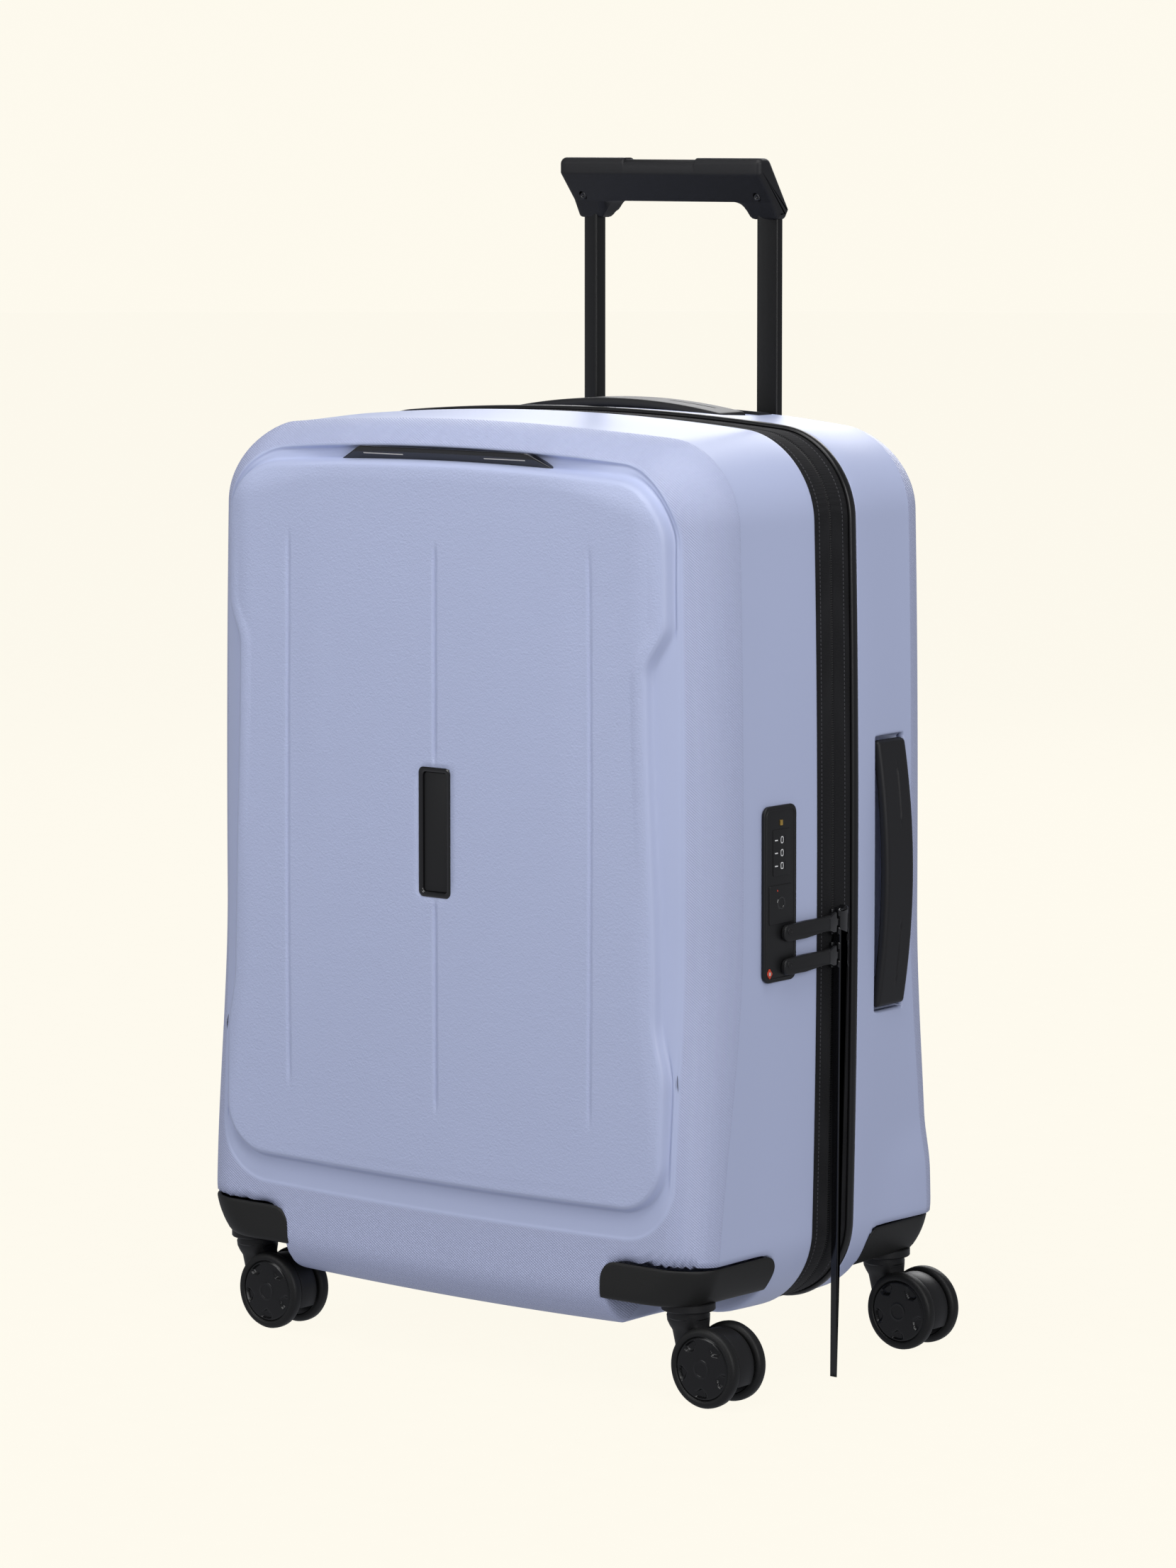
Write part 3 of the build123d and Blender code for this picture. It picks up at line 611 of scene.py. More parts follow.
def shell_plastic(name, colour):
    """Lavender moulding: leather grain on the panels, a fine knurl on the band round them, else satin."""
    mat, tree, shader = material(name)
    place = node(tree, "ShaderNodeTexCoord").outputs["Object"]
    leather = node(tree, "ShaderNodeAttribute", attribute_name="leather").outputs["Fac"]
    knurl = node(tree, "ShaderNodeAttribute", attribute_name="knurl").outputs["Fac"]
    cloud = node(tree, "ShaderNodeTexNoise", {"Vector": place, "Scale": 5.0, "Detail": 2.0}).outputs["Fac"]
    base = colour_mix(tree, cloud, shade(colour, 0.975), shade(colour, 1.025))
    dusky = (colour[0] * 0.93, colour[1] * 0.915, colour[2] * 0.925, 1.0)
    base = colour_mix(tree, knurl, base, dusky)
    pebble = node(tree, "ShaderNodeTexVoronoi", {"Vector": place, "Scale": 820.0}, feature="SMOOTH_F1")
    fold = node(tree, "ShaderNodeTexNoise", {"Vector": place, "Scale": 480.0, "Detail": 4.0}).outputs["Fac"]
    skin_height = arithmetic(tree, "ADD", pebble.outputs["Distance"], fold)
    diagonal = []
    for slope in (1.5, -1.5):
        along = node(tree, "ShaderNodeVectorMath", {0: place, 1: (1.0, 1.0, slope)},
                     operation="DOT_PRODUCT").outputs["Value"]
        diagonal.append(arithmetic(tree, "SINE", arithmetic(tree, "MULTIPLY", along, 2100.0)))
    points = arithmetic(tree, "ADD", diagonal[0], arithmetic(tree, "MULTIPLY", diagonal[1], 0.45))
    satin = node(tree, "ShaderNodeTexNoise", {"Vector": place, "Scale": 1500.0, "Detail": 2.0}).outputs["Fac"]
    height = arithmetic(tree, "MULTIPLY", skin_height, arithmetic(tree, "MULTIPLY", leather, 0.00019))
    knurled = arithmetic(tree, "MULTIPLY", points, arithmetic(tree, "MULTIPLY", knurl, 0.00009))
    height = arithmetic(tree, "ADD", height, knurled)
    height = arithmetic(tree, "ADD", height, arithmetic(tree, "MULTIPLY", satin, 0.00003))
    bump = node(tree, "ShaderNodeBump", {"Height": height, "Strength": 1.0, "Distance": 1.0})
    tree.links.new(bump.outputs[0], shader.inputs["Normal"])
    rough = node(tree, "ShaderNodeMapRange", {"Value": leather, "To Min": 0.40, "To Max": 0.47}).outputs[0]
    rough = arithmetic(tree, "ADD", rough, arithmetic(tree, "MULTIPLY", cloud, 0.04))
    tree.links.new(rough, shader.inputs["Roughness"])
    tree.links.new(base, shader.inputs["Base Color"])
    shader.inputs["Specular IOR Level"].default_value = 0.5
    return mat


LAVENDER = srgb(180, 189, 220)
shell_material = shell_plastic("lavender_shell", LAVENDER)
# The handle cups are the shell's own pressed hollows, coloured 10% darker than it: painted shade in the
# recess.
cup_painted_shade_material = plastic("lavender_cup_painted_shade", shade(LAVENDER, 0.9), 0.45, 1500, 0.00002, 0.03)
black_satin = plastic("black_satin_plastic", srgb(26, 26, 27), 0.44, 1300, 0.00004, specular=0.32)
guard_material = plastic("guard_plastic", srgb(28, 28, 27), 0.52, 1000, 0.00007, specular=0.3)
gloss_black = plastic("gloss_black", srgb(14, 14, 16), 0.12, 400, 0.000008, coat=0.4)
rubber_black = plastic("handle_rubber", srgb(27, 27, 29), 0.5, 1100, 0.00006, specular=0.32)
piping_material = plastic("piping_vinyl", srgb(22, 22, 23), 0.3, 700, 0.00004, specular=0.4)
tyre_material = plastic("tyre_polyurethane", srgb(21, 21, 21), 0.5, 1000, 0.00005, specular=0.3)
hub_material = plastic("hub_plastic", srgb(16, 16, 17), 0.24, 900, 0.00002, specular=0.4)
tape_material = woven("zip_tape_cloth", srgb(25, 25, 27), 0.0011, 0.00012)
thread_material = plastic("stitch_thread", srgb(62, 62, 66), 0.8, 2500, 0.00005)
coil_material = plastic("zip_coil_nylon", srgb(27, 27, 28), 0.38, 2000, 0.00003)
lining_material = woven("lining_cloth", srgb(96, 98, 108), 0.0009, 0.0001)
mesh_material = woven("divider_mesh_cloth", srgb(52, 53, 60), 0.0016, 0.0003)
webbing_material = woven("strap_webbing", srgb(40, 40, 44), 0.0014, 0.0003)
tube_material = plastic("tube_black_anodised", srgb(19, 19, 19), 0.36, 1800, 0.00001, specular=0.3)
dark_steel = metal("black_nickel", srgb(70, 70, 72), 0.3)
brass = metal("brass", srgb(214, 178, 96), 0.3)
white_ink = plastic("white_ink", srgb(226, 226, 226), 0.5, 2000, 0.00001, 0.02)
red_ink = plastic("red_ink", srgb(196, 62, 38), 0.45, 2000, 0.00001, 0.02)
silver_ink = plastic("silver_ink", srgb(196, 192, 184), 0.35, 2000, 0.00001, 0.02)


# ------------------------------------------------------------------ shells

def cloth_lining(name, verts, faces, flip, body, replaces):
    """Fitted cloth inside a shell half, following its pressed shape."""
    verts, faces, _ = compact(verts, faces)
    if flip:
        faces = [f[::-1] for f in faces]
    obj = new_object(name, verts, faces)
    normals = np.empty(len(verts) * 3)
    obj.data.vertex_normals.foreach_get("vector", normals)
    ruck = 0.35 * np.sin(verts[:, 0] / 19 + np.sin(verts[:, 2] / 31)) * np.sin(verts[:, 2] / 23)
    inner = verts - normals.reshape(-1, 3) * (LINING_GAP + ruck)[:, None]
    obj.data.vertices.foreach_set("co", (inner * MM).ravel())
    obj.data.update()
    finish_piece(obj, lining_material, body, replaces)


def front_shell():
    verts, faces, leather, knurl = shell_surface(FRONT_RIM_Y, FRONT_Y, FRONT_LEVELS, badge=True)
    verts[:, 0] -= foot_bumps(verts)
    verts = pressed_wells(verts, -1)
    obj = skin("front_shell_moulding", verts, faces, False, 2.2, {"leather": leather, "knurl": knurl})
    finish_piece(obj, shell_material, "front_case", ["front_shell"])
    cloth_lining("front_lining_cloth", verts, faces, False, "front_case", ["front_lining"])


def rear_shell():
    verts, faces, leather, knurl = shell_surface(REAR_RIM_Y, BACK_Y, REAR_LEVELS, badge=False)
    verts[:, 0] -= foot_bumps(verts)
    verts = pressed_wells(verts, 1)
    x, y, z = verts[:, 0], verts[:, 1], verts[:, 2]
    flare = smoothstep(172, 130, z) * smoothstep(60, 118, y) * smoothstep(150, 215, np.abs(x))
    verts[:, 0] += np.sign(x) * 3.5 * flare * (z > 95)
    verts, side, top = pressed_cups(verts)
    x, y, z = verts[:, 0], verts[:, 1], verts[:, 2]
    inside = (np.abs(x) < HOUSING_HALF) & (y > HOUSING_FRONT_Y) & (z > HOUSING_FLOOR_Z)
    for name, depth in (("side_handle_cup", side), ("top_handle_cup", top)):
        cup, faces = split_faces(faces, depth > 0.02)
        # Each dish gets the darker lavender: painted shade in the hollow.
        piece = skin(name + "_dish", verts, cup, True, 1.6)
        finish_piece(piece, cup_painted_shade_material, "rear_case", [name])
    faces = split_faces(faces, inside)[1]
    obj = skin("rear_shell_moulding", verts, faces, True, 2.2, {"leather": leather, "knurl": knurl})
    finish_piece(obj, shell_material, "rear_case", ["rear_shell"])
    cloth_lining("rear_lining_cloth", verts, faces, True, "rear_case", ["rear_lining"])


front_shell()
rear_shell()


# ------------------------------------------------------------------ rings round the case

even_columns = symmetric(clustered(0, STRAIGHT_X, 5.0, [0.0], 5.0, 5.0)) / STRAIGHT_X
even_rows = clustered(BASE_Z + CORNER_R, CROWN_Z - CORNER_R, 5.0, [MID_Z], 5.0, 5.0)
perimeter = Outline(even_columns, (even_rows - MID_Z) / STRAIGHT_Z, 10)


def ring_sweep(name, section):
    """Band that runs round the case; section is a closed outline of (inset, depth) points."""
    base = perimeter.inset(0)
    normal = base - perimeter.inset(1.0)
    points = [straight_sided(base - normal * inset, y) for inset, y in section]
    n, count = len(base), len(section)
    faces = []
    for r in range(count):
        for c in range(n):
            d, s = (c + 1) % n, (r + 1) % count
            faces.append((r * n + c, r * n + d, s * n + d, s * n + c))
    obj = new_object(name, np.concatenate(points), faces)
    fix_normals(obj)
    return obj


def ellipse(inset, y, half_inset, half_y, count):
    angles = np.linspace(0, 2 * math.pi, count + 1)[:-1]
    return [(inset - half_inset * math.cos(a), y + half_y * math.sin(a)) for a in angles]


def dense_path(inset, y, step):
    """Points and outward directions spaced evenly round the case at an inset and depth."""
    base = perimeter.inset(inset)
    outer = perimeter.inset(inset - 1.0)
    path = straight_sided(base, y)
    away = straight_sided(outer, y) - path
    closed = np.vstack([path, path[:1]])
    run = np.concatenate([[0], np.cumsum(np.linalg.norm(np.diff(closed, axis=0), axis=1))])
    count = int(run[-1] / step)
    at = np.linspace(0, run[-1], count + 1)[:-1]
    away_closed = np.vstack([away, away[:1]])
    place = np.stack([np.interp(at, run, closed[:, k]) for k in range(3)], -1)
    out = np.stack([np.interp(at, run, away_closed[:, k]) for k in range(3)], -1)
    out /= np.linalg.norm(out, axis=1)[:, None]
    along = np.roll(place, -1, 0) - np.roll(place, 1, 0)
    return place, out, along / np.linalg.norm(along, axis=1)[:, None]


def capsules(name, place, out, along, length, half_width, height):
    """One low rounded bead at each point."""
    side = np.cross(along, out)
    outline_points = []
    for share, wide in ((-0.5, 0.35), (-0.3, 1.0), (0.3, 1.0), (0.5, 0.35)):
        outline_points.append((share * length, -wide * half_width, 0.0))
        outline_points.append((share * length, -wide * half_width * 0.5, height))
        outline_points.append((share * length, wide * half_width * 0.5, height))
        outline_points.append((share * length, wide * half_width, 0.0))
    local = np.array(outline_points)
    verts = (place[:, None] + local[None, :, 0:1] * along[:, None] + local[None, :, 1:2] * side[:, None]
             + local[None, :, 2:3] * out[:, None]).reshape(-1, 3)
    cell = [(4 * r + c, 4 * r + c + 1, 4 * r + c + 5, 4 * r + c + 4) for r in range(3) for c in range(3)]
    cell += [(0, 3, 2, 1), (12, 13, 14, 15)]
    faces = [tuple(16 * i + k for k in f) for i in range(len(place)) for f in cell]
    return new_object(name, verts, faces)


def zip_band():
    """Two halves of zip tape with their coils and stitches, and the piping on the rear rim."""
    rise = [(3.4, -27.5), (2.4, -26.5), (2.4, -16.5), (1.9, -9), (1.7, 2.2), (1.9, 3.6), (2.5, 4.4),
            (3.0, 4.0), (3.6, 1.8)]
    tape_front = ring_sweep("zip_tape_front_cloth", rise)
    finish_piece(tape_front, tape_material, "front_case", ["zip_tape_front"])
    rise = [(3.6, 8.2), (3.0, 6.0), (2.5, 5.6), (1.9, 6.4), (1.7, 7.8), (1.9, 18), (2.4, 26.5), (2.6, 45),
            (3.4, 46)]
    tape_rear = ring_sweep("zip_tape_rear_cloth", rise)
    finish_piece(tape_rear, tape_material, "rear_case", ["zip_tape_rear"])
    for end, y, body in (("front", 3.4, "front_case"), ("rear", 6.6, "rear_case")):
        core = ring_sweep("zip_coil_" + end + "_core", ellipse(3.3, y, 0.9, 1.25, 10))
        teeth = capsules("zip_coil_" + end + "_teeth", *dense_path(2.45, y, 1.7), 1.1, 1.2, 0.35)
        finish_piece(core, coil_material, body, ["zip_coil_" + end])
        finish_piece(teeth, coil_material, body)
    for name, y, body in (("front", -8.5, "front_case"), ("rear", 19.5, "rear_case")):
        stitches = capsules("zip_stitches_" + name, *dense_path(1.9, y, 3.0), 2.0, 0.42, 0.3)
        finish_piece(stitches, thread_material, body)
    piping = ring_sweep("rim_piping_bead", ellipse(1.1, 30.1, 2.2, 3.9, 16))
    finish_piece(piping, piping_material, "rear_case", ["rim_piping"])


zip_band()


# ------------------------------------------------------------------ corner guards and casters

def shell_inset_at(y_abs, face_abs, radius):
    """Inset of the straight-sided side wall at a distance from the mid plane."""
    start = face_abs - radius * (1 - math.sin(RIDGE))
    if y_abs < start:
        return DRAFT * float(smoothstep(20, start, y_abs))
    sine = min((y_abs - start) / radius + math.sin(RIDGE), 1.0)
    return DRAFT + radius * (math.cos(RIDGE) - math.sqrt(1 - sine ** 2))


def corner_cast(angle, z, face_abs):
    """Distance from the well's inner corner to the outer surface along an angle, in plan."""
    low, high = 0.0, 190.0
    for _ in range(34):
        r = (low + high) / 2
        x, y = WELL_X + r * math.cos(angle), WELL_Y + r * math.sin(angle)
        level = z - GUARD_LEVEL_BOW * (x / HALF_WIDTH) ** 2
        wall = shell_inset_at(y, face_abs, float(edge_radius(x, level)))
        inside = y < face_abs and float(outline_depth(x, level)) > wall
        low, high = (r, high) if inside else (low, r)
    return low


def corner_guard(name, sx, sy, face_abs):
    """Moulded cap that wraps a lower corner of the case, with its underside plate."""
    coarse = np.linspace(math.radians(-1), math.radians(91), 181)
    reach = np.array([corner_cast(a, 96.0, face_abs) for a in coarse])
    plan = np.stack([reach * np.cos(coarse), reach * np.sin(coarse)], -1)
    run = np.concatenate([[0], np.cumsum(np.linalg.norm(np.diff(plan, axis=0), axis=1))])
    count = 64
    swing = np.cos(np.linspace(0, math.pi, count))
    stops = run[-1] * (0.5 - 0.5 * swing * (0.72 + 0.28 * np.abs(swing)))
    angles = np.interp(stops, run, coarse)
    rounding = 13.0
    rows_up = [0, 0.0, 0.04, 0.12, 0.25, 0.4, 0.55, 0.7, 0.83, 0.92, 0.97, 1.0, 1.0]
    proud = [-2.0, -0.5, 0.5, 0.9, 0.9, 0.9, 0.9, 0.9, 0.9, 0.9, 0.75, 0.3, -2.2]
    wall = []
    for up, out in zip(rows_up, proud):
        row = []
        for a, s in zip(angles, stops):
            near = min(s, run[-1] - s)
            cut = rounding - math.sqrt(max(rounding ** 2 - max(rounding - near, 0) ** 2, 0))
            z = GUARD_Z + up * (WELL_TOP_Z - cut - GUARD_Z)
            r = corner_cast(a, z, face_abs) + out
            row.append((WELL_X + r * math.cos(a), WELL_Y + r * math.sin(a), z))
        wall.append(row)
    under = []
    for level, share in enumerate((0.02, 0.3, 0.6, 0.9), 1):
        under.append([(WELL_X + (x - WELL_X) * share, WELL_Y + (y - WELL_Y) * share, GUARD_Z)
                      for x, y, z in wall[level]])
    verts = np.array(under + wall).reshape(-1, 3)
    verts[:, 0] = bow(verts[:, [0, 2]])[:, 0]
    verts *= (sx, sy, 1)
    obj = new_object(name + "_cap", verts, grid_faces(len(under + wall), count))
    fix_normals(obj)
    solid = obj.modifiers.new("wall", "SOLIDIFY")
    solid.thickness = 1.5 * MM
    solid.offset = -1
    return obj


def lathe(name, profile, count=64):
    """Solid of revolution about Z from (radius, height) points."""
    angles = np.linspace(0, 2 * math.pi, count + 1)[:-1]
    verts = [(r * math.cos(a), r * math.sin(a), z) for r, z in profile for a in angles]
    obj = new_object(name, verts, grid_faces(len(profile), count, closed=True))
    fix_normals(obj)
    return obj


def place_at(obj, x, y, z, rotation=None):
    matrix = Matrix.Translation(Vector((x, y, z)) * MM)
    if rotation is not None:
        matrix = matrix @ rotation.to_4x4()
    obj.data.transform(matrix)
    return obj


def wheel_face(name):
    """Twin-wheel disc with its moulded cover: rounded tyre, five scalloped recesses round a hub."""
    tyre_profile = [(23.2, 0.6), (24.0, 0.15), (26.0, 0.3), (27.6, 1.0), (28.35, 2.4), (28.5, 4.2),
                    (28.5, 5.6), (28.3, 7.4), (27.5, 8.8), (26.0, 9.6), (24.2, 9.8), (23.4, 9.5),
                    (22.9, 8.9), (22.6, 8.0)]
    tyre = lathe(name + "_tyre", tyre_profile, 72)
    radii = [22.8, 22.7, 22.3, 21.6, 21.0, 20.5, 20.0, 19.4, 18.8, 18.2, 17.6, 17.0, 16.4, 15.8, 15.2, 14.6,
             14.0, 13.4, 11.0, 8.0, 6.7, 6.4, 6.1, 5.7, 5.4, 5.1, 4.0, 2.0, 0.0]
    angles = np.linspace(0, 2 * math.pi, 101)[:-1]
    rows_v = []
    for r in radii:
        edge = smoothstep(22.8, 21.2, r)
        level = 8.2 + 1.0 * edge
        petal = np.cos(5 * (angles + 0.35))
        inner_edge = 14.2 + 4.6 * (1 - np.clip(petal, 0, 1)) ** 0.8
        scallop = smoothstep(0.25, 0.55, petal) * smoothstep(21.0, 20.0, r)
        scallop = scallop * smoothstep(inner_edge - 0.6, inner_edge + 0.6, r)
        ring = 0.22 * smoothstep(6.6, 6.2, r) * smoothstep(5.2, 5.6, r)
        height = level - 1.9 * scallop + ring + 0.5 * (1 - (r / 23) ** 2)
        rows_v.append(np.stack([r * np.cos(angles), r * np.sin(angles), height], -1))
    back = [(22.6, 0.9), (14, 0.9), (13.5, 0.2), (6, 0.2), (0, 0.2)]
    inner = [np.stack([r * np.cos(angles), r * np.sin(angles), np.full(100, h)], -1)
             for r, h in back[::-1]]
    stack = np.concatenate(inner + rows_v)
    cover = new_object(name + "_cover", stack, grid_faces(len(inner) + len(rows_v), 100, closed=True))
    fix_normals(cover)
    return tyre, cover


def swivel_fork(name, sx, sy):
    """Swivel caster body: stepped collar, neck, mudguard between the wheels and the axle."""
    x0, y0 = sx * STEM_X, sy * STEM_Y
    steps = [(0, 70.5), (18.6, 70.5), (19.3, 69.8), (19.3, 65.2), (18.7, 64.5), (15.6, 64.3), (15.2, 63.8),
             (15.2, 59.4), (14.6, 58.6), (12.0, 57.5), (0, 57.0)]
    collar = place_at(lathe(name + "_collar", steps, 64), x0, y0, 0)
    axle_x = x0 + TRAIL
    angles = np.linspace(math.radians(-28), math.radians(205), 44)
    half = 8.8
    section = [(-half, 20.0), (-half, 24.4), (-half + 0.6, 25.4), (-half + 2.2, 25.9), (half - 2.2, 25.9),
               (half - 0.6, 25.4), (half, 24.4), (half, 20.0)]
    rows_f = []
    for a in angles:
        rows_f.append([(axle_x + r * math.cos(a), y0 + w, WHEEL_R + r * math.sin(a)) for w, r in section])
    mudguard = new_object(name + "_mudguard", np.array(rows_f).reshape(-1, 3),
                          grid_faces(len(rows_f), len(section)))
    bm = bmesh.new()
    bm.from_mesh(mudguard.data)
    bmesh.ops.holes_fill(bm, edges=bm.edges)
    bmesh.ops.recalc_face_normals(bm, faces=bm.faces)
    bm.to_mesh(mudguard.data)
    bm.free()
    cheeks = rounded_box(name + "_cheeks", (axle_x - 21, y0 - 8.6, 20), (axle_x + 16, y0 + 8.6, 44), 5.0)
    neck = neck_sweep(name + "_neck", x0, y0)
    axle = lathe(name + "_axle", [(0, -9.9), (4.2, -9.9), (4.2, 9.9), (0, 9.9)], 32)
    place_at(axle, axle_x, y0, WHEEL_R, Matrix.Rotation(math.pi / 2, 3, "X"))
    return join(name + "_body", [collar, mudguard, cheeks, neck, axle])


def neck_sweep(name, x0, y0):
    """Tapering neck from the collar down to the mudguard."""
    stations = [(0, 61.0, 13.9, 13.9), (0.2, 57.0, 13.8, 13.4), (1.0, 53.0, 13.4, 11.5),
                (3.0, 49.5, 14.0, 9.4), (5.2, 44.0, 15.2, 8.8), (7.2, 37.0, 15.6, 8.6),
                (9.0, 30.0, 14.4, 8.4), (12.0, 22.0, 10.0, 8.0)]
    rows_n = []
    angles = np.linspace(0, 2 * math.pi, 33)[:-1]
    c, s = np.cos(angles), np.sin(angles)
    power = 2 / 3
    for lean, z, ax, ay in stations:
        px = np.sign(c) * np.abs(c) ** power * ax
        py = np.sign(s) * np.abs(s) ** power * ay
        rows_n.append(np.stack([x0 + lean + px, y0 + py, np.full(32, z)], -1))
    rows_n.append(np.tile(rows_n[-1].mean(0), (32, 1)))
    return new_object(name, np.concatenate(rows_n), grid_faces(len(rows_n), 32, closed=True))


def rounded_box(name, low, high, radius, segments=4):
    """Box with all its edges rounded."""
    low, high = np.array(low, float), np.array(high, float)
    corners = [(x, y, z) for x in (low[0], high[0]) for y in (low[1], high[1]) for z in (low[2], high[2])]
    faces = [(0, 1, 3, 2), (4, 6, 7, 5), (0, 4, 5, 1), (2, 3, 7, 6), (0, 2, 6, 4), (1, 5, 7, 3)]
    obj = new_object(name, corners, faces)
    fix_normals(obj)
    bevel = obj.modifiers.new("edges", "BEVEL")
    bevel.width = radius * MM
    bevel.segments = segments
    bevel.limit_method = "ANGLE"
    return apply_modifiers(obj)


def join(name, objects):
    """One object out of several meshes."""
    bm = bmesh.new()
    for obj in objects:
        if obj.modifiers:
            apply_modifiers(obj)
        bm.from_mesh(obj.data)
    mesh = bpy.data.meshes.new(name)
    bm.to_mesh(mesh)
    bm.free()
    mesh.shade_smooth()
    made = bpy.data.objects.new(name, mesh)
    bpy.context.scene.collection.objects.link(made)
    for obj in objects:
        data = obj.data
        bpy.data.objects.remove(obj)
        bpy.data.meshes.remove(data)
    return made


def sharp_by_angle(obj, degrees=35):
    """Smooth shading that keeps the crisp corners."""
    obj.data.set_sharp_from_angle(angle=math.radians(degrees))
    return obj


def caster(end, hand):
    sx, sy = (1 if hand == "right" else -1), (-1 if end == "front" else 1)
    face_abs = -FRONT_Y if end == "front" else BACK_Y
    place = end + "_" + hand
    guard = corner_guard("corner_guard_" + place, sx, sy, face_abs)
    body = "front_case" if end == "front" else "rear_case"
    finish_piece(guard, guard_material, body, ["corner_guard_" + place])
    fork = swivel_fork("swivel_fork_" + place, sx, sy)
    sharp_by_angle(fork)
    finish_piece(fork, black_satin, "caster_" + place, ["swivel_fork_" + place])
    for letter, side in (("a", -1), ("b", 1)):
        node_name = "wheel_" + place + "_" + letter
        low, high = box_mm(node_name)
        centre = (low + high) / 2
        tyre, cover = wheel_face(node_name)
        turn = Matrix.Rotation(-side * math.pi / 2, 3, "X")
        inner_y = sy * STEM_Y + side * 10.2
        for piece, mat in ((tyre, tyre_material), (cover, hub_material)):
            place_at(piece, centre[0], inner_y, centre[2], turn)
            finish_piece(sharp_by_angle(piece, 50), mat, node_name,
                         [node_name] if piece is tyre else [])


for wheel_end in ("front", "rear"):
    for wheel_hand in ("left", "right"):
        caster(wheel_end, wheel_hand)


# ------------------------------------------------------------------ badge and centre insert

def rounded_polygon(points, radii, segments=5):
    """Polygon with each corner rounded to its own radius."""
    points = [np.array(p, float) for p in points]
    made = []
    for i, (p, r) in enumerate(zip(points, radii)):
        before, after = points[i - 1] - p, points[(i + 1) % len(points)] - p
        before, after = before / np.linalg.norm(before), after / np.linalg.norm(after)
        half = math.acos(float(np.clip(before @ after, -1, 1))) / 2
        reach = r / math.tan(half)
        bisector = (before + after) / np.linalg.norm(before + after)
        centre = p + bisector * r / math.sin(half)
        start, end = p + before * reach - centre, p + after * reach - centre
        for t in np.linspace(0, 1, segments):
            mid = start * (1 - t) + end * t
            made.append(centre + mid / np.linalg.norm(mid) * r)
    return np.array(made)


def shrink_polygon(points, distance):
    """Polygon (counter-clockwise) moved inwards by a distance."""
    ahead = np.roll(points, -1, 0) - np.roll(points, 1, 0)
    ahead /= np.linalg.norm(ahead, axis=1)[:, None]
    return points + np.stack([-ahead[:, 1], ahead[:, 0]], -1) * distance


def pillow_plate(name, polygon, thickness, rim, to_world):
    """Plate of an outline with a rounded front edge; to_world turns (u, v, height) rows into points."""
    layers = [(0.0, 0.0)]
    for step in np.linspace(0, math.pi / 2, 5):
        layers.append((rim * (1 - math.cos(step)), thickness - rim + rim * math.sin(step)))
    rings = []
    for inset, height in layers:
        ring = shrink_polygon(polygon, inset)
        rings.append(np.column_stack([ring, np.full(len(ring), height)]))
    n = len(polygon)
    verts = to_world(np.concatenate(rings))
    faces = grid_faces(len(rings), n, closed=True)
    faces += [tuple(range(n))[::-1], tuple((len(rings) - 1) * n + i for i in range(n))]
    obj = new_object(name, verts, faces)
    fix_normals(obj)
    return sharp_by_angle(obj, 40)


def trims():
    """Badge on the brow, and the framed insert in the middle of the panel."""
    def on_brow(points):
        lean = 0.5 * (points[:, 1] - 653.6)
        return np.column_stack([points[:, 0], -138.6 + 7.0 - lean - points[:, 2], points[:, 1]])

    ends = [(-103.8, 654.6), (103.8, 654.6), (78.5, 667.2), (-78.5, 667.2)]
    badge_outline = rounded_polygon(ends, (0.8, 0.8, 9.0, 9.0), 7)
    badge = pillow_plate("front_badge_plate", badge_outline, 7.0, 1.2, on_brow)
    finish_piece(badge, gloss_black, "front_case", ["front_badge"])
    for name, x0, x1 in (("left", -76, -38), ("right", 38, 76)):
        line = rounded_polygon([(x0, 661.4), (x1, 661.4), (x1, 662.2), (x0, 662.2)], (0.2,) * 4)
        stripe = pillow_plate("badge_line_" + name, line, 7.15, 0.1, on_brow)
        finish_piece(stripe, silver_ink, "front_case")

    low, high = box_mm("centre_insert_frame")
    middle = (low[2] + high[2]) / 2

    def on_panel(points):
        return np.column_stack([points[:, 0], -148.4 - points[:, 2], points[:, 1] + middle])

    half_x, half_z = high[0], (high[2] - low[2]) / 2

    def box_outline(dx, radius):
        return rounded_polygon([(-half_x + dx, -half_z + dx), (half_x - dx, -half_z + dx),
                                (half_x - dx, half_z - dx), (-half_x + dx, half_z - dx)], (radius,) * 4, 6)

    rings = []
    for inset, height in ((0, 0), (0, 4.4), (0.35, 5.0), (1.1, 5.35), (3.0, 5.3), (3.6, 4.9), (4.0, 4.0),
                          (4.1, 1.5)):
        ring = box_outline(inset, max(4.4 - inset * 0.5, 1.0))
        rings.append(np.column_stack([ring, np.full(len(ring), height)]))
    frame_ring = new_object("centre_insert_rim", on_panel(np.concatenate(rings)),
                            grid_faces(len(rings), len(rings[0]), closed=True))
    fix_normals(frame_ring)
    finish_piece(sharp_by_angle(frame_ring, 50), gloss_black, "front_case",
                 ["centre_insert_frame"])
    pad = pillow_plate("centre_insert_soft_pad", box_outline(4.0, 2.6), 3.3, 0.8, on_panel)
    finish_piece(pad, black_satin, "front_case", ["centre_insert_pad"])


trims()


# ------------------------------------------------------------------ trolley handle

def extruded(name, polygon, stations):
    """Stack of one (y, z) outline along X; stations are (x, inset)."""
    rings = []
    for x, inset in stations:
        ring = shrink_polygon(polygon, inset)
        rings.append(np.column_stack([np.full(len(ring), x), ring]))
    n = len(polygon)
    faces = grid_faces(len(rings), n, closed=True)
    faces += [tuple(range(n))[::-1], tuple((len(rings) - 1) * n + i for i in range(n))]
    obj = new_object(name, np.concatenate(rings), faces)
    fix_normals(obj)
    return obj


def end_stations(half, radius, middle):
    """Stations along a bar with rounded ends."""
    turn = np.linspace(0, math.pi / 2, 6)
    tips = [(half - radius + radius * math.sin(a), radius * (1 - math.cos(a))) for a in turn]
    left = [(-x, inset) for x, inset in tips[::-1]]
    return left + [(x, 0.0) for x in middle] + tips


SCREW_X, SCREW_Z = 83, 846


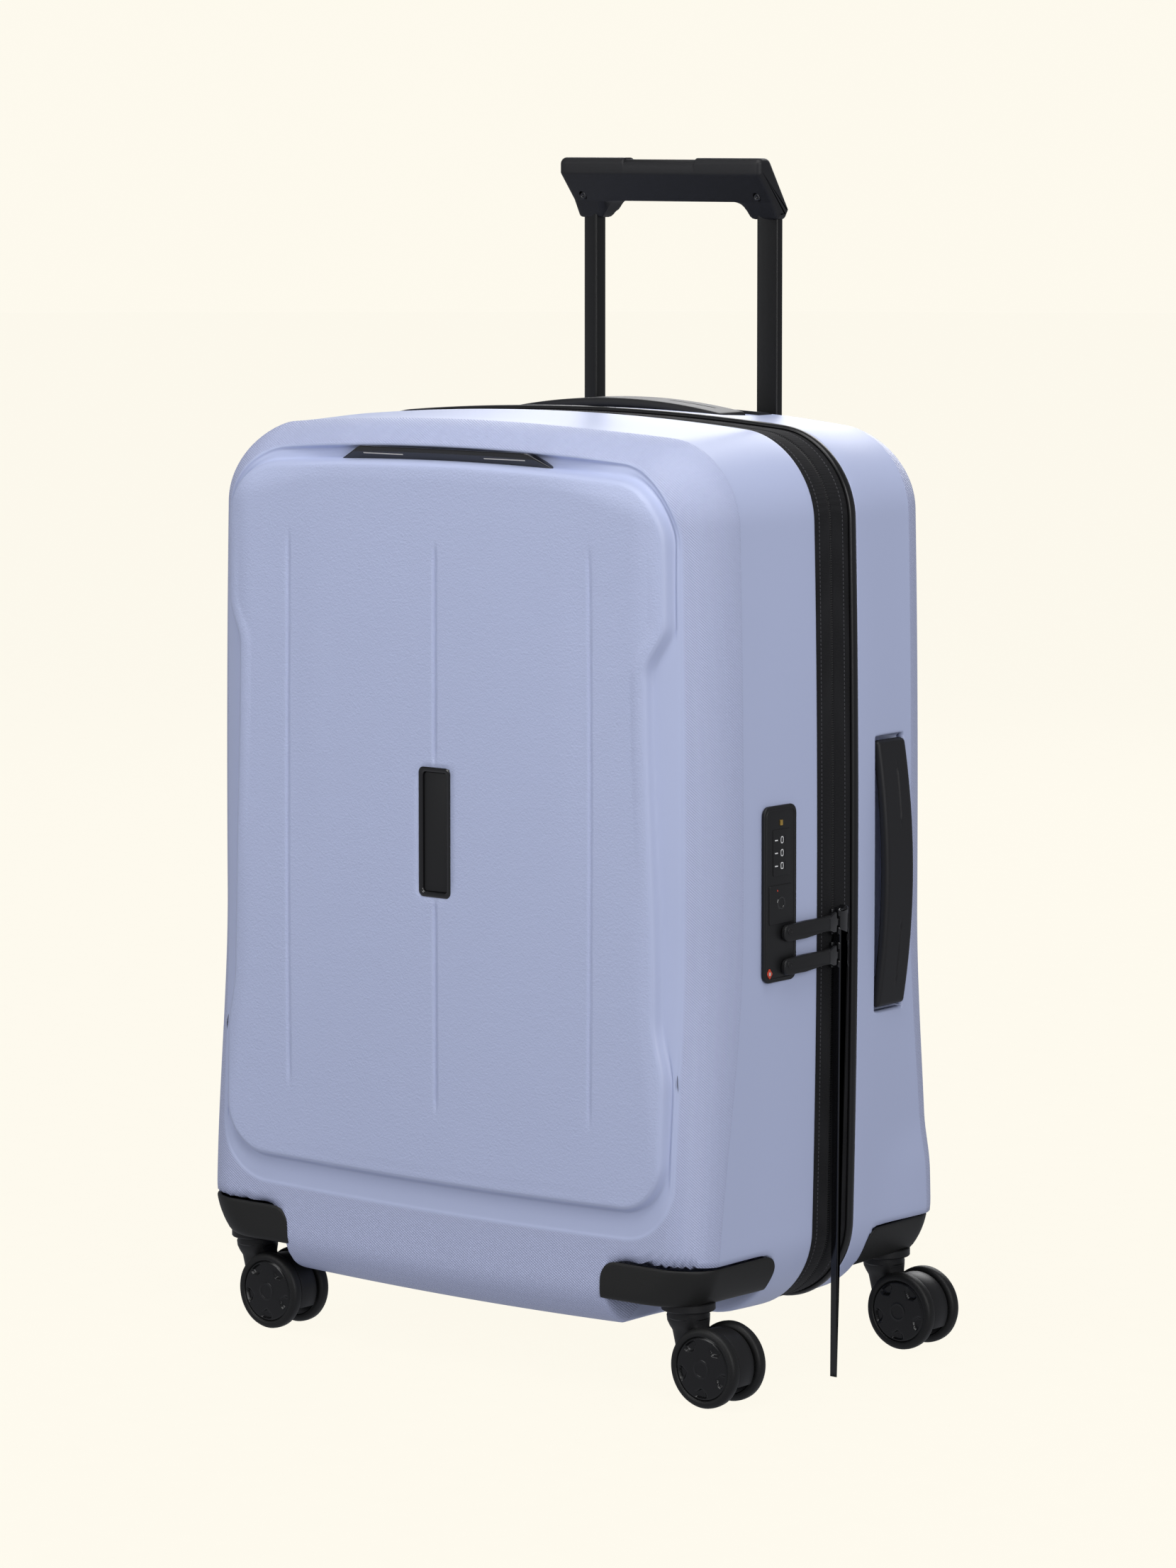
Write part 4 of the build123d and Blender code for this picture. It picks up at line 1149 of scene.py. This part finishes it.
def trolley():
    """Telescopic handle: grip with its screws and button, and the inner and outer tubes."""
    half = box_mm("trolley_grip")[1][0]
    profile = rounded_polygon([(107.6, 862.5), (124.6, 842), (131.5, 829.2), (141.5, 829.2), (146.5, 836.5),
                               (121.5, 875), (107.6, 875)], (3.5, 6, 2.5, 3.0, 3.0, 6.0, 5.0), 6)
    middle = np.concatenate([np.linspace(-88, -76, 4), np.linspace(-74.5, -58, 12), np.linspace(-52, -36, 4),
                             [-35, -34.4, -33.9, -33.4, -32.8], np.linspace(-28, 28, 8),
                             [32.8, 33.4, 33.9, 34.4, 35], np.linspace(36, 52, 4), np.linspace(58, 74.5, 12),
                             np.linspace(76, 88, 4)])
    bar = extruded("trolley_grip_body", profile, end_stations(half, 4.5, middle))
    points = np.empty(len(bar.data.vertices) * 3)
    bar.data.vertices.foreach_get("co", points)
    points = points.reshape(-1, 3) / MM
    x, z = np.abs(points[:, 0]), points[:, 2]
    floor_z = 842 - 13 * smoothstep(60, 73.5, x)
    points[:, 2] = np.where(z < 850, np.maximum(z, floor_z), z)
    points[:, 2] -= 2.3 * smoothstep(34.2, 33.4, x) * smoothstep(868, 872, z)
    bar.data.vertices.foreach_set("co", (points * MM).ravel())
    for side in (-1, 1):
        cutter = lathe("cutter", [(0, -30), (3.2, -30), (3.2, 24), (0, 24)], 32)
        place_at(cutter, side * SCREW_X, 100, SCREW_Z, Matrix.Rotation(-math.pi / 2, 3, "X"))
        cut = bar.modifiers.new("screw_hole", "BOOLEAN")
        cut.object, cut.operation = cutter, "DIFFERENCE"
        apply_modifiers(bar)
        data = cutter.data
        bpy.data.objects.remove(cutter)
        bpy.data.meshes.remove(data)
    bar.data.shade_smooth()
    finish_piece(sharp_by_angle(bar, 38), rubber_black, "trolley", ["trolley_grip"])

    screws = []
    for side in (-1, 1):
        dome_head = [(0, 0.6), (0.9, 0.6), (1.1, 1.6), (2.4, 1.6), (2.9, 1.1), (3.0, 0), (3.0, -3)]
        head = lathe("screw", dome_head, 32)
        screws.append(place_at(head, side * SCREW_X, 122.6, SCREW_Z, Matrix.Rotation(math.pi / 2, 3, "X")))
    finish_piece(join("grip_screw_heads", screws), dark_steel, "trolley", ["grip_screws"])

    low, high = box_mm("trolley_button")
    button = rounded_box("trolley_button_key", low, high, 1.1)
    finish_piece(sharp_by_angle(button, 40), black_satin, "trolley_button",
                 ["trolley_button"])

    section = [(76.3, 129.3), (92.7, 134.6), (92.7, 141.3), (76.3, 141.3)]
    for hand, sign in (("left", -1), ("right", 1)):
        for kind, grow, z0, z1 in (("inner", 0.0, 271, 846), ("outer", 1.7, 78, 640)):
            outline_2d = rounded_polygon(section, (1.6, 2.4, 1.2, 1.2), 5)
            outline_2d = shrink_polygon(outline_2d, -grow)
            rings = [np.column_stack([outline_2d, np.full(len(outline_2d), z)]) for z in (z0, z1)]
            n = len(outline_2d)
            faces = grid_faces(2, n, closed=True)
            if kind == "inner":
                faces += [tuple(range(n))[::-1], tuple(n + i for i in range(n))]
            else:
                hole = shrink_polygon(outline_2d, 1.2)
                rings += [np.column_stack([hole, np.full(n, z)]) for z in (z1, z0)]
                faces = grid_faces(4, n, closed=True)
                faces += [(c, 3 * n + c, 3 * n + (c + 1) % n, (c + 1) % n) for c in range(n)]
            verts = np.concatenate(rings) * (sign, 1, 1)
            tube = new_object("trolley_" + kind + "_tube_wall_" + hand, verts, faces)
            fix_normals(tube)
            body = "trolley" if kind == "inner" else "rear_case"
            finish_piece(sharp_by_angle(tube, 30), tube_material, body,
                         ["trolley_" + kind + "_tube_" + hand])


trolley()


# ------------------------------------------------------------------ carry handles

def carry_handle(name, origin, turn):
    """Arched carry handle; built along X with its top towards +Z, then turned into place."""
    half = 97.5
    end_turn = np.linspace(92, half, 6)
    stations = np.concatenate([-end_turn[::-1], np.linspace(-88, 88, 45), end_turn])
    outline_2d = rounded_polygon([(-17, -7), (17, -7), (17, 0), (-17, 0)], (2.6, 2.6, 3.2, 3.2), 6)
    flat = [(w, 0.0) for w in (12, 9, 6, 4, 3.1, 2.6, 2.2, 1.8, 1.4, 0.9, 0, -3, -6, -9, -12)]
    top_right, top_left = outline_2d[:18], outline_2d[18:]
    outline_2d = np.concatenate([top_right, np.array(flat), top_left])
    rings = []
    for s in stations:
        near = half - abs(s)
        inset = 3.2 - math.sqrt(max(3.2 ** 2 - max(3.2 - near, 0) ** 2, 0))
        ring = shrink_polygon(outline_2d, inset)
        arc = 1.0 + 8.6 * (1 - (s / half) ** 2)
        groove = 0.9 * (smoothstep(36, 38, abs(s)) * smoothstep(80, 78, abs(s)))
        cut = groove * smoothstep(0.9, 0.3, np.abs(ring[:, 0] - 2.0)) * (ring[:, 1] > -1)
        rings.append(np.column_stack([np.full(len(ring), s), ring[:, 0], ring[:, 1] + arc - cut]))
    n = len(outline_2d)
    faces = grid_faces(len(rings), n, closed=True)
    faces += [tuple(range(n))[::-1], tuple((len(rings) - 1) * n + i for i in range(n))]
    bar = new_object(name + "_bar", np.concatenate(rings), faces)
    fix_normals(bar)
    posts = []
    for s in (-85, 85):
        posts.append(rounded_box(name + "_post", (s - 5, -11, -19), (s + 5, 11, -1), 1.5))
        posts.append(rounded_box(name + "_shoulder", (s - 9.5, -15, -7.5), (s + 9.5, 15, -1.5), 2.5))
    whole = join(name + "_moulding", [bar] + posts)
    whole.data.transform(Matrix.Translation(Vector(origin) * MM) @ turn.to_4x4())
    finish_piece(sharp_by_angle(whole, 34), rubber_black, name, [name])


carry_handle("side_handle", (241.5, HANDLE_Y, 358.0), Matrix(((0, 0, 1), (0, 1, 0), (-1, 0, 0))))
carry_handle("top_handle", (0.0, HANDLE_Y, 686.5), Matrix.Identity(3))


# ------------------------------------------------------------------ lock, sliders and pullers

def on_lock_face(points):
    """(y, z, height) on the lock's plate to the world."""
    return np.column_stack([box_mm("lock_plate")[1][0] - 2.6 + points[:, 2], points[:, 0], points[:, 1]])


def plate_on_lock(name, y, z, radius, height, rim, mat, body, replaces=()):
    corners = [(y[0], z[0]), (y[1], z[0]), (y[1], z[1]), (y[0], z[1])]
    obj = pillow_plate(name, rounded_polygon(corners, (radius,) * 4, 6), height, rim, on_lock_face)
    return finish_piece(obj, mat, body, list(replaces))


def ring_mark(name, y, z, half_y, half_z, line, x):
    """Flat oval ring, the figure on a dial."""
    angles = np.linspace(0, 2 * math.pi, 33)[:-1]
    rows_m = []
    for grow in (0, -line):
        c, s = np.cos(angles), np.sin(angles)
        py = np.sign(c) * np.abs(c) ** 0.6 * (half_y + grow)
        pz = np.sign(s) * np.abs(s) ** 0.75 * (half_z + grow)
        rows_m.append(np.column_stack([np.full(32, x), y + py, z + pz]))
    return new_object(name, np.concatenate(rows_m), grid_faces(2, 32, closed=True))


def lock():
    """Lock plate with its three dials, release slide, key cylinder and marks."""
    low, high = box_mm("lock_plate")
    low, high = low - (0, 0, 1.2), high + (0, 0, 2.4)
    plate_on_lock("lock_plate_face", (low[1], high[1]), (low[2], high[2]), 6.5, 2.2, 0.9, black_satin,
                  "front_case", ["lock_plate"])
    corners = [(low[1] + 2.2, low[2] + 2.2), (high[1] - 2.2, low[2] + 2.2), (high[1] - 2.2, high[2] - 2.2),
               (low[1] + 2.2, high[2] - 2.2)]
    rim = rounded_polygon(corners, (4.6,) * 4, 6)
    step = np.concatenate([np.column_stack([shrink_polygon(rim, d), np.full(len(rim), h)])
                           for d, h in ((0, 2.15), (0.3, 2.6), (0.8, 2.6), (1.1, 2.15))])
    lip = new_object("lock_plate_lip", on_lock_face(step), grid_faces(4, len(rim), closed=True))
    fix_normals(lip)
    finish_piece(lip, black_satin, "front_case")
    plate_on_lock("lock_dial_window", (-70.5, -50.5), (370.5, 403.5), 1.2, 2.75, 0.35, black_satin,
                  "front_case")
    for name in ("upper", "middle", "lower"):
        node_name = "lock_dial_" + name
        lo, hi = box_mm(node_name)
        centre = (lo + hi) / 2
        radius, half = (hi[0] - lo[0]) / 2, (hi[2] - lo[2]) / 2
        angles = np.linspace(0, 2 * math.pi, 121)[:-1]
        rows_d = []
        for r, h in ((0, -half), (radius - 1.4, -half), (radius - 0.5, -half + 0.5), (radius, -half + 1.1),
                     (radius, half - 1.1), (radius - 0.5, half - 0.5), (radius - 1.4, half), (0, half)):
            notch = 0.35 * (np.cos(10 * angles + math.pi) > 0.9) * (r > radius - 0.6)
            rows_d.append(np.column_stack([(r - notch) * np.cos(angles), (r - notch) * np.sin(angles),
                                           np.full(120, h)]))
        dial = new_object(node_name + "_wheel", np.concatenate(rows_d), grid_faces(8, 120, closed=True))
        fix_normals(dial)
        place_at(dial, *centre)
        finish_piece(sharp_by_angle(dial, 40), black_satin, node_name, [node_name])
        figure = ring_mark(node_name + "_figure", centre[1], centre[2], 1.7, 2.5, 0.62, hi[0] + 0.12)
        finish_piece(figure, white_ink, node_name)
        plate_on_lock(node_name + "_index", (-68.9, -65.6), (centre[2] - 0.42, centre[2] + 0.42), 0.2, 3.0,
                      0.1, white_ink, "front_case")
        plate_on_lock(node_name + "_bezel", (-56.9, -56.2), (centre[2] - 3.4, centre[2] + 3.4), 0.2, 2.95,
                      0.1, dark_steel, "front_case")
    plate_on_lock("lock_brass_dot", (-62.6, -59.6), (406.2, 410.2), 0.5, 2.95, 0.2, brass, "front_case")
    lo, hi = box_mm("lock_release")
    plate_on_lock("lock_release_slide", (lo[1], hi[1]), (lo[2], hi[2]), 1.6, 2.9, 0.6, black_satin,
                  "lock_release", ["lock_release"])
    barrel = [(0, -5), (5, -5), (5, 0.3), (4.5, 0.75), (3.4, 0.75), (3.1, 0.2), (2.0, -0.2), (1.2, -1.0),
              (0, -1.0)]
    key = lathe("key_cylinder_barrel", barrel, 40)
    place_at(key, 243.0, -61.5, 351.0, Matrix.Rotation(math.pi / 2, 3, "Y"))
    finish_piece(sharp_by_angle(key, 40), gloss_black, "key_cylinder", ["key_cylinder"])
    plate_on_lock("lock_red_dot", (-66.4, -65.2), (359.4, 360.6), 0.5, 3.05, 0.1, red_ink, "lock_release")
    diamond = [(-74.6, 297.8), (-71.4, 301.6), (-74.6, 305.4), (-77.8, 301.6)]
    mark = pillow_plate("lock_red_mark", rounded_polygon(diamond, (0.4,) * 4), 2.9, 0.1, on_lock_face)
    finish_piece(mark, red_ink, "front_case")
    plate_on_lock("lock_red_mark_core", (-75.6, -73.6), (300.4, 302.8), 0.3, 3.0, 0.1, silver_ink,
                  "front_case")


def puller(name):
    """Zip puller: flat arm with a rounded nose at the lock end and a glossy neck at the slider's pin."""
    lo, hi = box_mm("zip_puller_" + name)
    z = (lo[2] + hi[2]) / 2
    arm = [(-62, -5.8), (-36, -6.3), (-16, -5.3), (-4.5, -5.8), (-4.5, 5.8), (-16, 5.3), (-36, 6.3),
           (-62, 5.8)]
    arm_outline = rounded_polygon(arm, (5.2, 20, 20, 1.5, 1.5, 20, 20, 5.2), 6)

    def world(points):
        y = points[:, 0]
        lift = 0.7 * np.sin(np.clip((y + 62) / 62, 0, 1) * math.pi)
        droop = 1.6 * smoothstep(0, -62, y)
        return np.column_stack([244.3 + lift + points[:, 2], y, z + points[:, 1] - droop])

    body = pillow_plate("puller_arm_" + name, arm_outline, 3.0, 1.1, world)
    eye = lathe("eye", [(2.6, 0), (2.6, 0.35), (2.2, 0.6), (1.7, 0.35), (1.5, -0.3), (0, -0.3)], 28)
    place_at(eye, 247.3, -56.0, z, Matrix.Rotation(math.pi / 2, 3, "Y"))
    finish_piece(join("zip_puller_arm_" + name, [body, eye]), black_satin, "zip_puller_" + name,
                 ["zip_puller_" + name])
    neck = [(-9, -4.8), (-3, -7.4), (0.9, -7.8), (0.9, -3.1), (9.2, -3.1), (9.2, 3.1), (0.9, 3.1),
            (0.9, 7.8), (-3, 7.4), (-9, 4.8)]
    neck_outline = rounded_polygon(neck, (1.5, 3, 1.4, 0.8, 1.4, 1.4, 0.8, 1.4, 3, 1.5), 5)
    shackle = pillow_plate("puller_shackle_" + name, neck_outline, 3.3, 1.4, world)
    finish_piece(shackle, gloss_black, "zip_puller_" + name)


def slider(name):
    """Zip slider: a base plate over the coil and two hooks beside the puller's neck."""
    lo, hi = box_mm("zip_slider_" + name)
    z = (lo[2] + hi[2]) / 2
    hook = [(1.7, 3.8), (6.5, 3.8), (12.6, 3.8), (13.8, 9.2), (11.0, 11.6), (6.8, 9.0), (3.6, 10.4),
            (1.7, 8.6)]
    hook_outline = rounded_polygon(hook, (1.2, 1, 1.6, 1.6, 1.4, 3, 1.4, 1.2), 5)

    def side(sign):
        def world(points):
            return np.column_stack([lo[0] + 1.2 + points[:, 2], points[:, 0], z + sign * points[:, 1]])
        return pillow_plate("slider_hook", hook_outline, 6.0, 1.9, world)

    base = rounded_box("slider_base", (lo[0], lo[1], lo[2]), (lo[0] + 2.0, hi[1], hi[2]), 0.9)
    piece = join("zip_slider_body_" + name, [base, side(1), side(-1)])
    finish_piece(sharp_by_angle(piece, 45), gloss_black, "zip_slider_" + name,
                 ["zip_slider_" + name])


lock()
for zip_end in ("upper", "lower"):
    puller(zip_end)
    slider(zip_end)


# ------------------------------------------------------------------ hinge cloth, linings and the inside

def hinge_cloth():
    """Cloth strip that joins the halves along the left side."""
    z = np.linspace(130, 610, 41)
    y = np.linspace(-26, 45, 37)
    verts = []
    for inset in (2.55, 3.3):
        for zz in z:
            x = bow(np.array([[-(HALF_WIDTH - inset), zz]]))[0, 0]
            verts += [(x + 0.05, yy, zz) for yy in y]
    n = len(z) * len(y)
    faces = grid_faces(len(z), len(y))
    faces += [tuple(n + i for i in f)[::-1] for f in faces]
    obj = new_object("hinge_cloth_strip", verts, faces)
    obj.data.materials.append(tape_material)
    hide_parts("hinge_tape")
    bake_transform(obj)


def divider():
    """Zip-in mesh divider of the front half, taut with a slight sag between its edges."""
    inner = perimeter.inset(4.2)
    centre = np.array([0.0, MID_Z])
    rings = []
    for share in np.linspace(1, 0.0, 26):
        xz = centre + (inner - centre) * share
        wave = 2.2 * (1 - share ** 2) * np.cos(xz[:, 0] / 60) * np.cos(xz[:, 1] / 85)
        rings.append(straight_sided(xz, -12.3 - wave))
    rings = np.concatenate(rings)
    obj = new_object("divider_mesh_cloth", rings, grid_faces(26, len(inner), closed=True))
    finish_piece(obj, mesh_material, "front_case", ["divider_panel"])


def straps():
    """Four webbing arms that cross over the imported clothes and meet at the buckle."""
    low, high = box_mm("packing_straps")
    section = ((-12, -0.5), (-12, 0.5), (-11, 0.8), (11, 0.8), (12, 0.5), (12, -0.5), (11, -0.6), (-11, -0.6))
    middle, tall = (low[2] + high[2]) / 2, (high[2] - low[2]) / 2
    arms = []
    for sx in (-1, 1):
        for sz in (-1, 1):
            start = np.array([sx * (high[0] - 9), middle + sz * (tall - 9)])
            end = np.array([sx * 24, middle + sz * 9])
            along = (end - start) / np.linalg.norm(end - start)
            across = np.array([-along[1], along[0]])
            rows_s = []
            for t in np.linspace(0, 1, 40):
                mid = start + (end - start) * t
                lift = 30.1 + 0.5 * math.sin(9 * t + sx)
                for w, h in section:
                    rows_s.append((mid[0] + across[0] * w, lift + h, mid[1] + across[1] * w))
            arm = new_object("strap_arm", rows_s, grid_faces(40, 8, closed=True))
            fix_normals(arm)
            arms.append(arm)
    piece = join("packing_strap_webbing", arms)
    finish_piece(sharp_by_angle(piece, 50), webbing_material, "rear_case",
                 ["packing_straps"])
    low, high = box_mm("strap_buckle")
    shell = rounded_box("buckle_shell", low, high, 2.2)
    bars = [rounded_box("buckle_bar", (x - 3, low[1] - 0.6, low[2] + 5), (x + 3, high[1] + 0.6, high[2] - 5),
                        1.2) for x in (-18, 18)]
    buckle = join("strap_buckle_body", [shell] + bars)
    finish_piece(sharp_by_angle(buckle, 40), black_satin, "rear_case", ["strap_buckle"])


def dress(node_name, mat):
    """New finish for a CAD node whose shape stays."""
    data = frame["nodes"][node_name].data
    data.materials.clear()
    data.materials.append(mat)


hinge_cloth()
divider()
straps()
for kept, finish in (("tube_screws", dark_steel), ("trolley_foot_bracket", black_satin),
                     ("trolley_housing", black_satin)):
    dress(kept, finish)


# ------------------------------------------------------------------ stage, light and camera

def paper(name, grain_scale, strength, base, roughness):
    """Pale paper that glows by itself, so that the lights don't grade it."""
    mat, tree, shader = material(name)
    place = node(tree, "ShaderNodeTexCoord").outputs["Object"]
    fibre = node(tree, "ShaderNodeTexNoise", {"Vector": place, "Scale": grain_scale}).outputs["Fac"]
    glow = colour_mix(tree, fibre, srgb(254, 250, 238), srgb(253, 249, 237))
    tree.links.new(glow, shader.inputs["Emission Color"])
    shader.inputs["Emission Strength"].default_value = strength
    shader.inputs["Base Color"].default_value = base
    shader.inputs["Roughness"].default_value = roughness
    shader.inputs["Specular IOR Level"].default_value = 0.0
    return mat


def studio():
    """Pale paper all round: a floor and a far dome that the lights don't bounce from."""
    floor_paper = paper("studio_paper", 40.0, 0.985, srgb(40, 39, 37), 0.9)
    dome_paper = paper("studio_dome", 0.5, 1.0, (0, 0, 0, 1), 0.5)
    size = 24.0
    floor = bpy.data.meshes.new("floor")
    corners = [(-size, -size, 0), (size, -size, 0), (size, size, 0), (-size, size, 0)]
    floor.from_pydata(corners, [], [(0, 1, 2, 3)])
    dome = bpy.data.meshes.new("dome")
    bm = bmesh.new()
    bmesh.ops.create_icosphere(bm, subdivisions=4, radius=22.0)
    bm.to_mesh(dome)
    bm.free()
    for name, mesh, finish in (("studio_floor", floor, floor_paper), ("studio_backdrop", dome, dome_paper)):
        obj = bpy.data.objects.new(name, mesh)
        bpy.context.scene.collection.objects.link(obj)
        mesh.materials.append(finish)
        obj.visible_diffuse = obj.visible_glossy = obj.visible_transmission = obj.visible_shadow = False
    world = bpy.data.worlds.new("studio")
    bpy.context.scene.world = world
    world.use_nodes = True
    sky = world.node_tree
    background = sky.nodes["Background"]
    background.inputs[0].default_value = srgb(240, 242, 250)
    direction = node(sky, "ShaderNodeTexCoord").outputs["Generated"]
    up = node(sky, "ShaderNodeSeparateXYZ", {0: direction}).outputs[2]
    level = node(sky, "ShaderNodeMapRange",
                 {"Value": up, "From Min": -0.7, "From Max": 0.7, "To Min": 0.5, "To Max": 0.17})
    sky.links.new(level.outputs[0], background.inputs[1])
    bpy.context.scene.view_settings.view_transform = "Standard"


def area_light(name, place, target, size, power):
    light = bpy.data.lights.new(name, "AREA")
    light.shape = "RECTANGLE"
    light.size, light.size_y, light.energy = size[0], size[1], power
    obj = bpy.data.objects.new(name, light)
    obj.location = place
    obj.rotation_euler = (Vector(target) - Vector(place)).to_track_quat("-Z", "Y").to_euler()
    bpy.context.scene.collection.objects.link(obj)


CAMERA_AZIMUTH = math.radians(38.69)
CAMERA_PITCH = 0.07545
CAMERA_DISTANCE = 4.0140
CAMERA_SIDE = 0.01494
CAMERA_HEIGHT = 0.9016
CAMERA_LENS = 124.785
SHIFT_Y = -0.16


def camera():
    cam = bpy.data.cameras.new("camera")
    cam.sensor_fit = "VERTICAL"
    cam.sensor_height = 36.0
    cam.lens = CAMERA_LENS
    cam.shift_y = SHIFT_Y
    cam.clip_end = 60
    obj = bpy.data.objects.new("camera", cam)
    sin, cos = math.sin(CAMERA_AZIMUTH), math.cos(CAMERA_AZIMUTH)
    obj.location = (CAMERA_DISTANCE * sin + CAMERA_SIDE * cos, -CAMERA_DISTANCE * cos + CAMERA_SIDE * sin,
                    CAMERA_HEIGHT)
    obj.rotation_euler = (math.pi / 2 - CAMERA_PITCH, 0, CAMERA_AZIMUTH)
    bpy.context.scene.collection.objects.link(obj)
    bpy.context.scene.camera = obj


studio()
area_light("top", (0.5, -0.9, 3.3), (0, 0, 0.35), (2.6, 2.2), 68)
area_light("front_left", (-1.3, -3.6, 2.1), (0, 0, 0.35), (1.6, 2.6), 43)
area_light("front_right", (3.6, -1.6, 1.7), (0, 0, 0.35), (1.6, 2.6), 62)
area_light("behind", (-1.4, 3.2, 2.2), (0, 0, 0.4), (2.4, 2.4), 62)
camera()
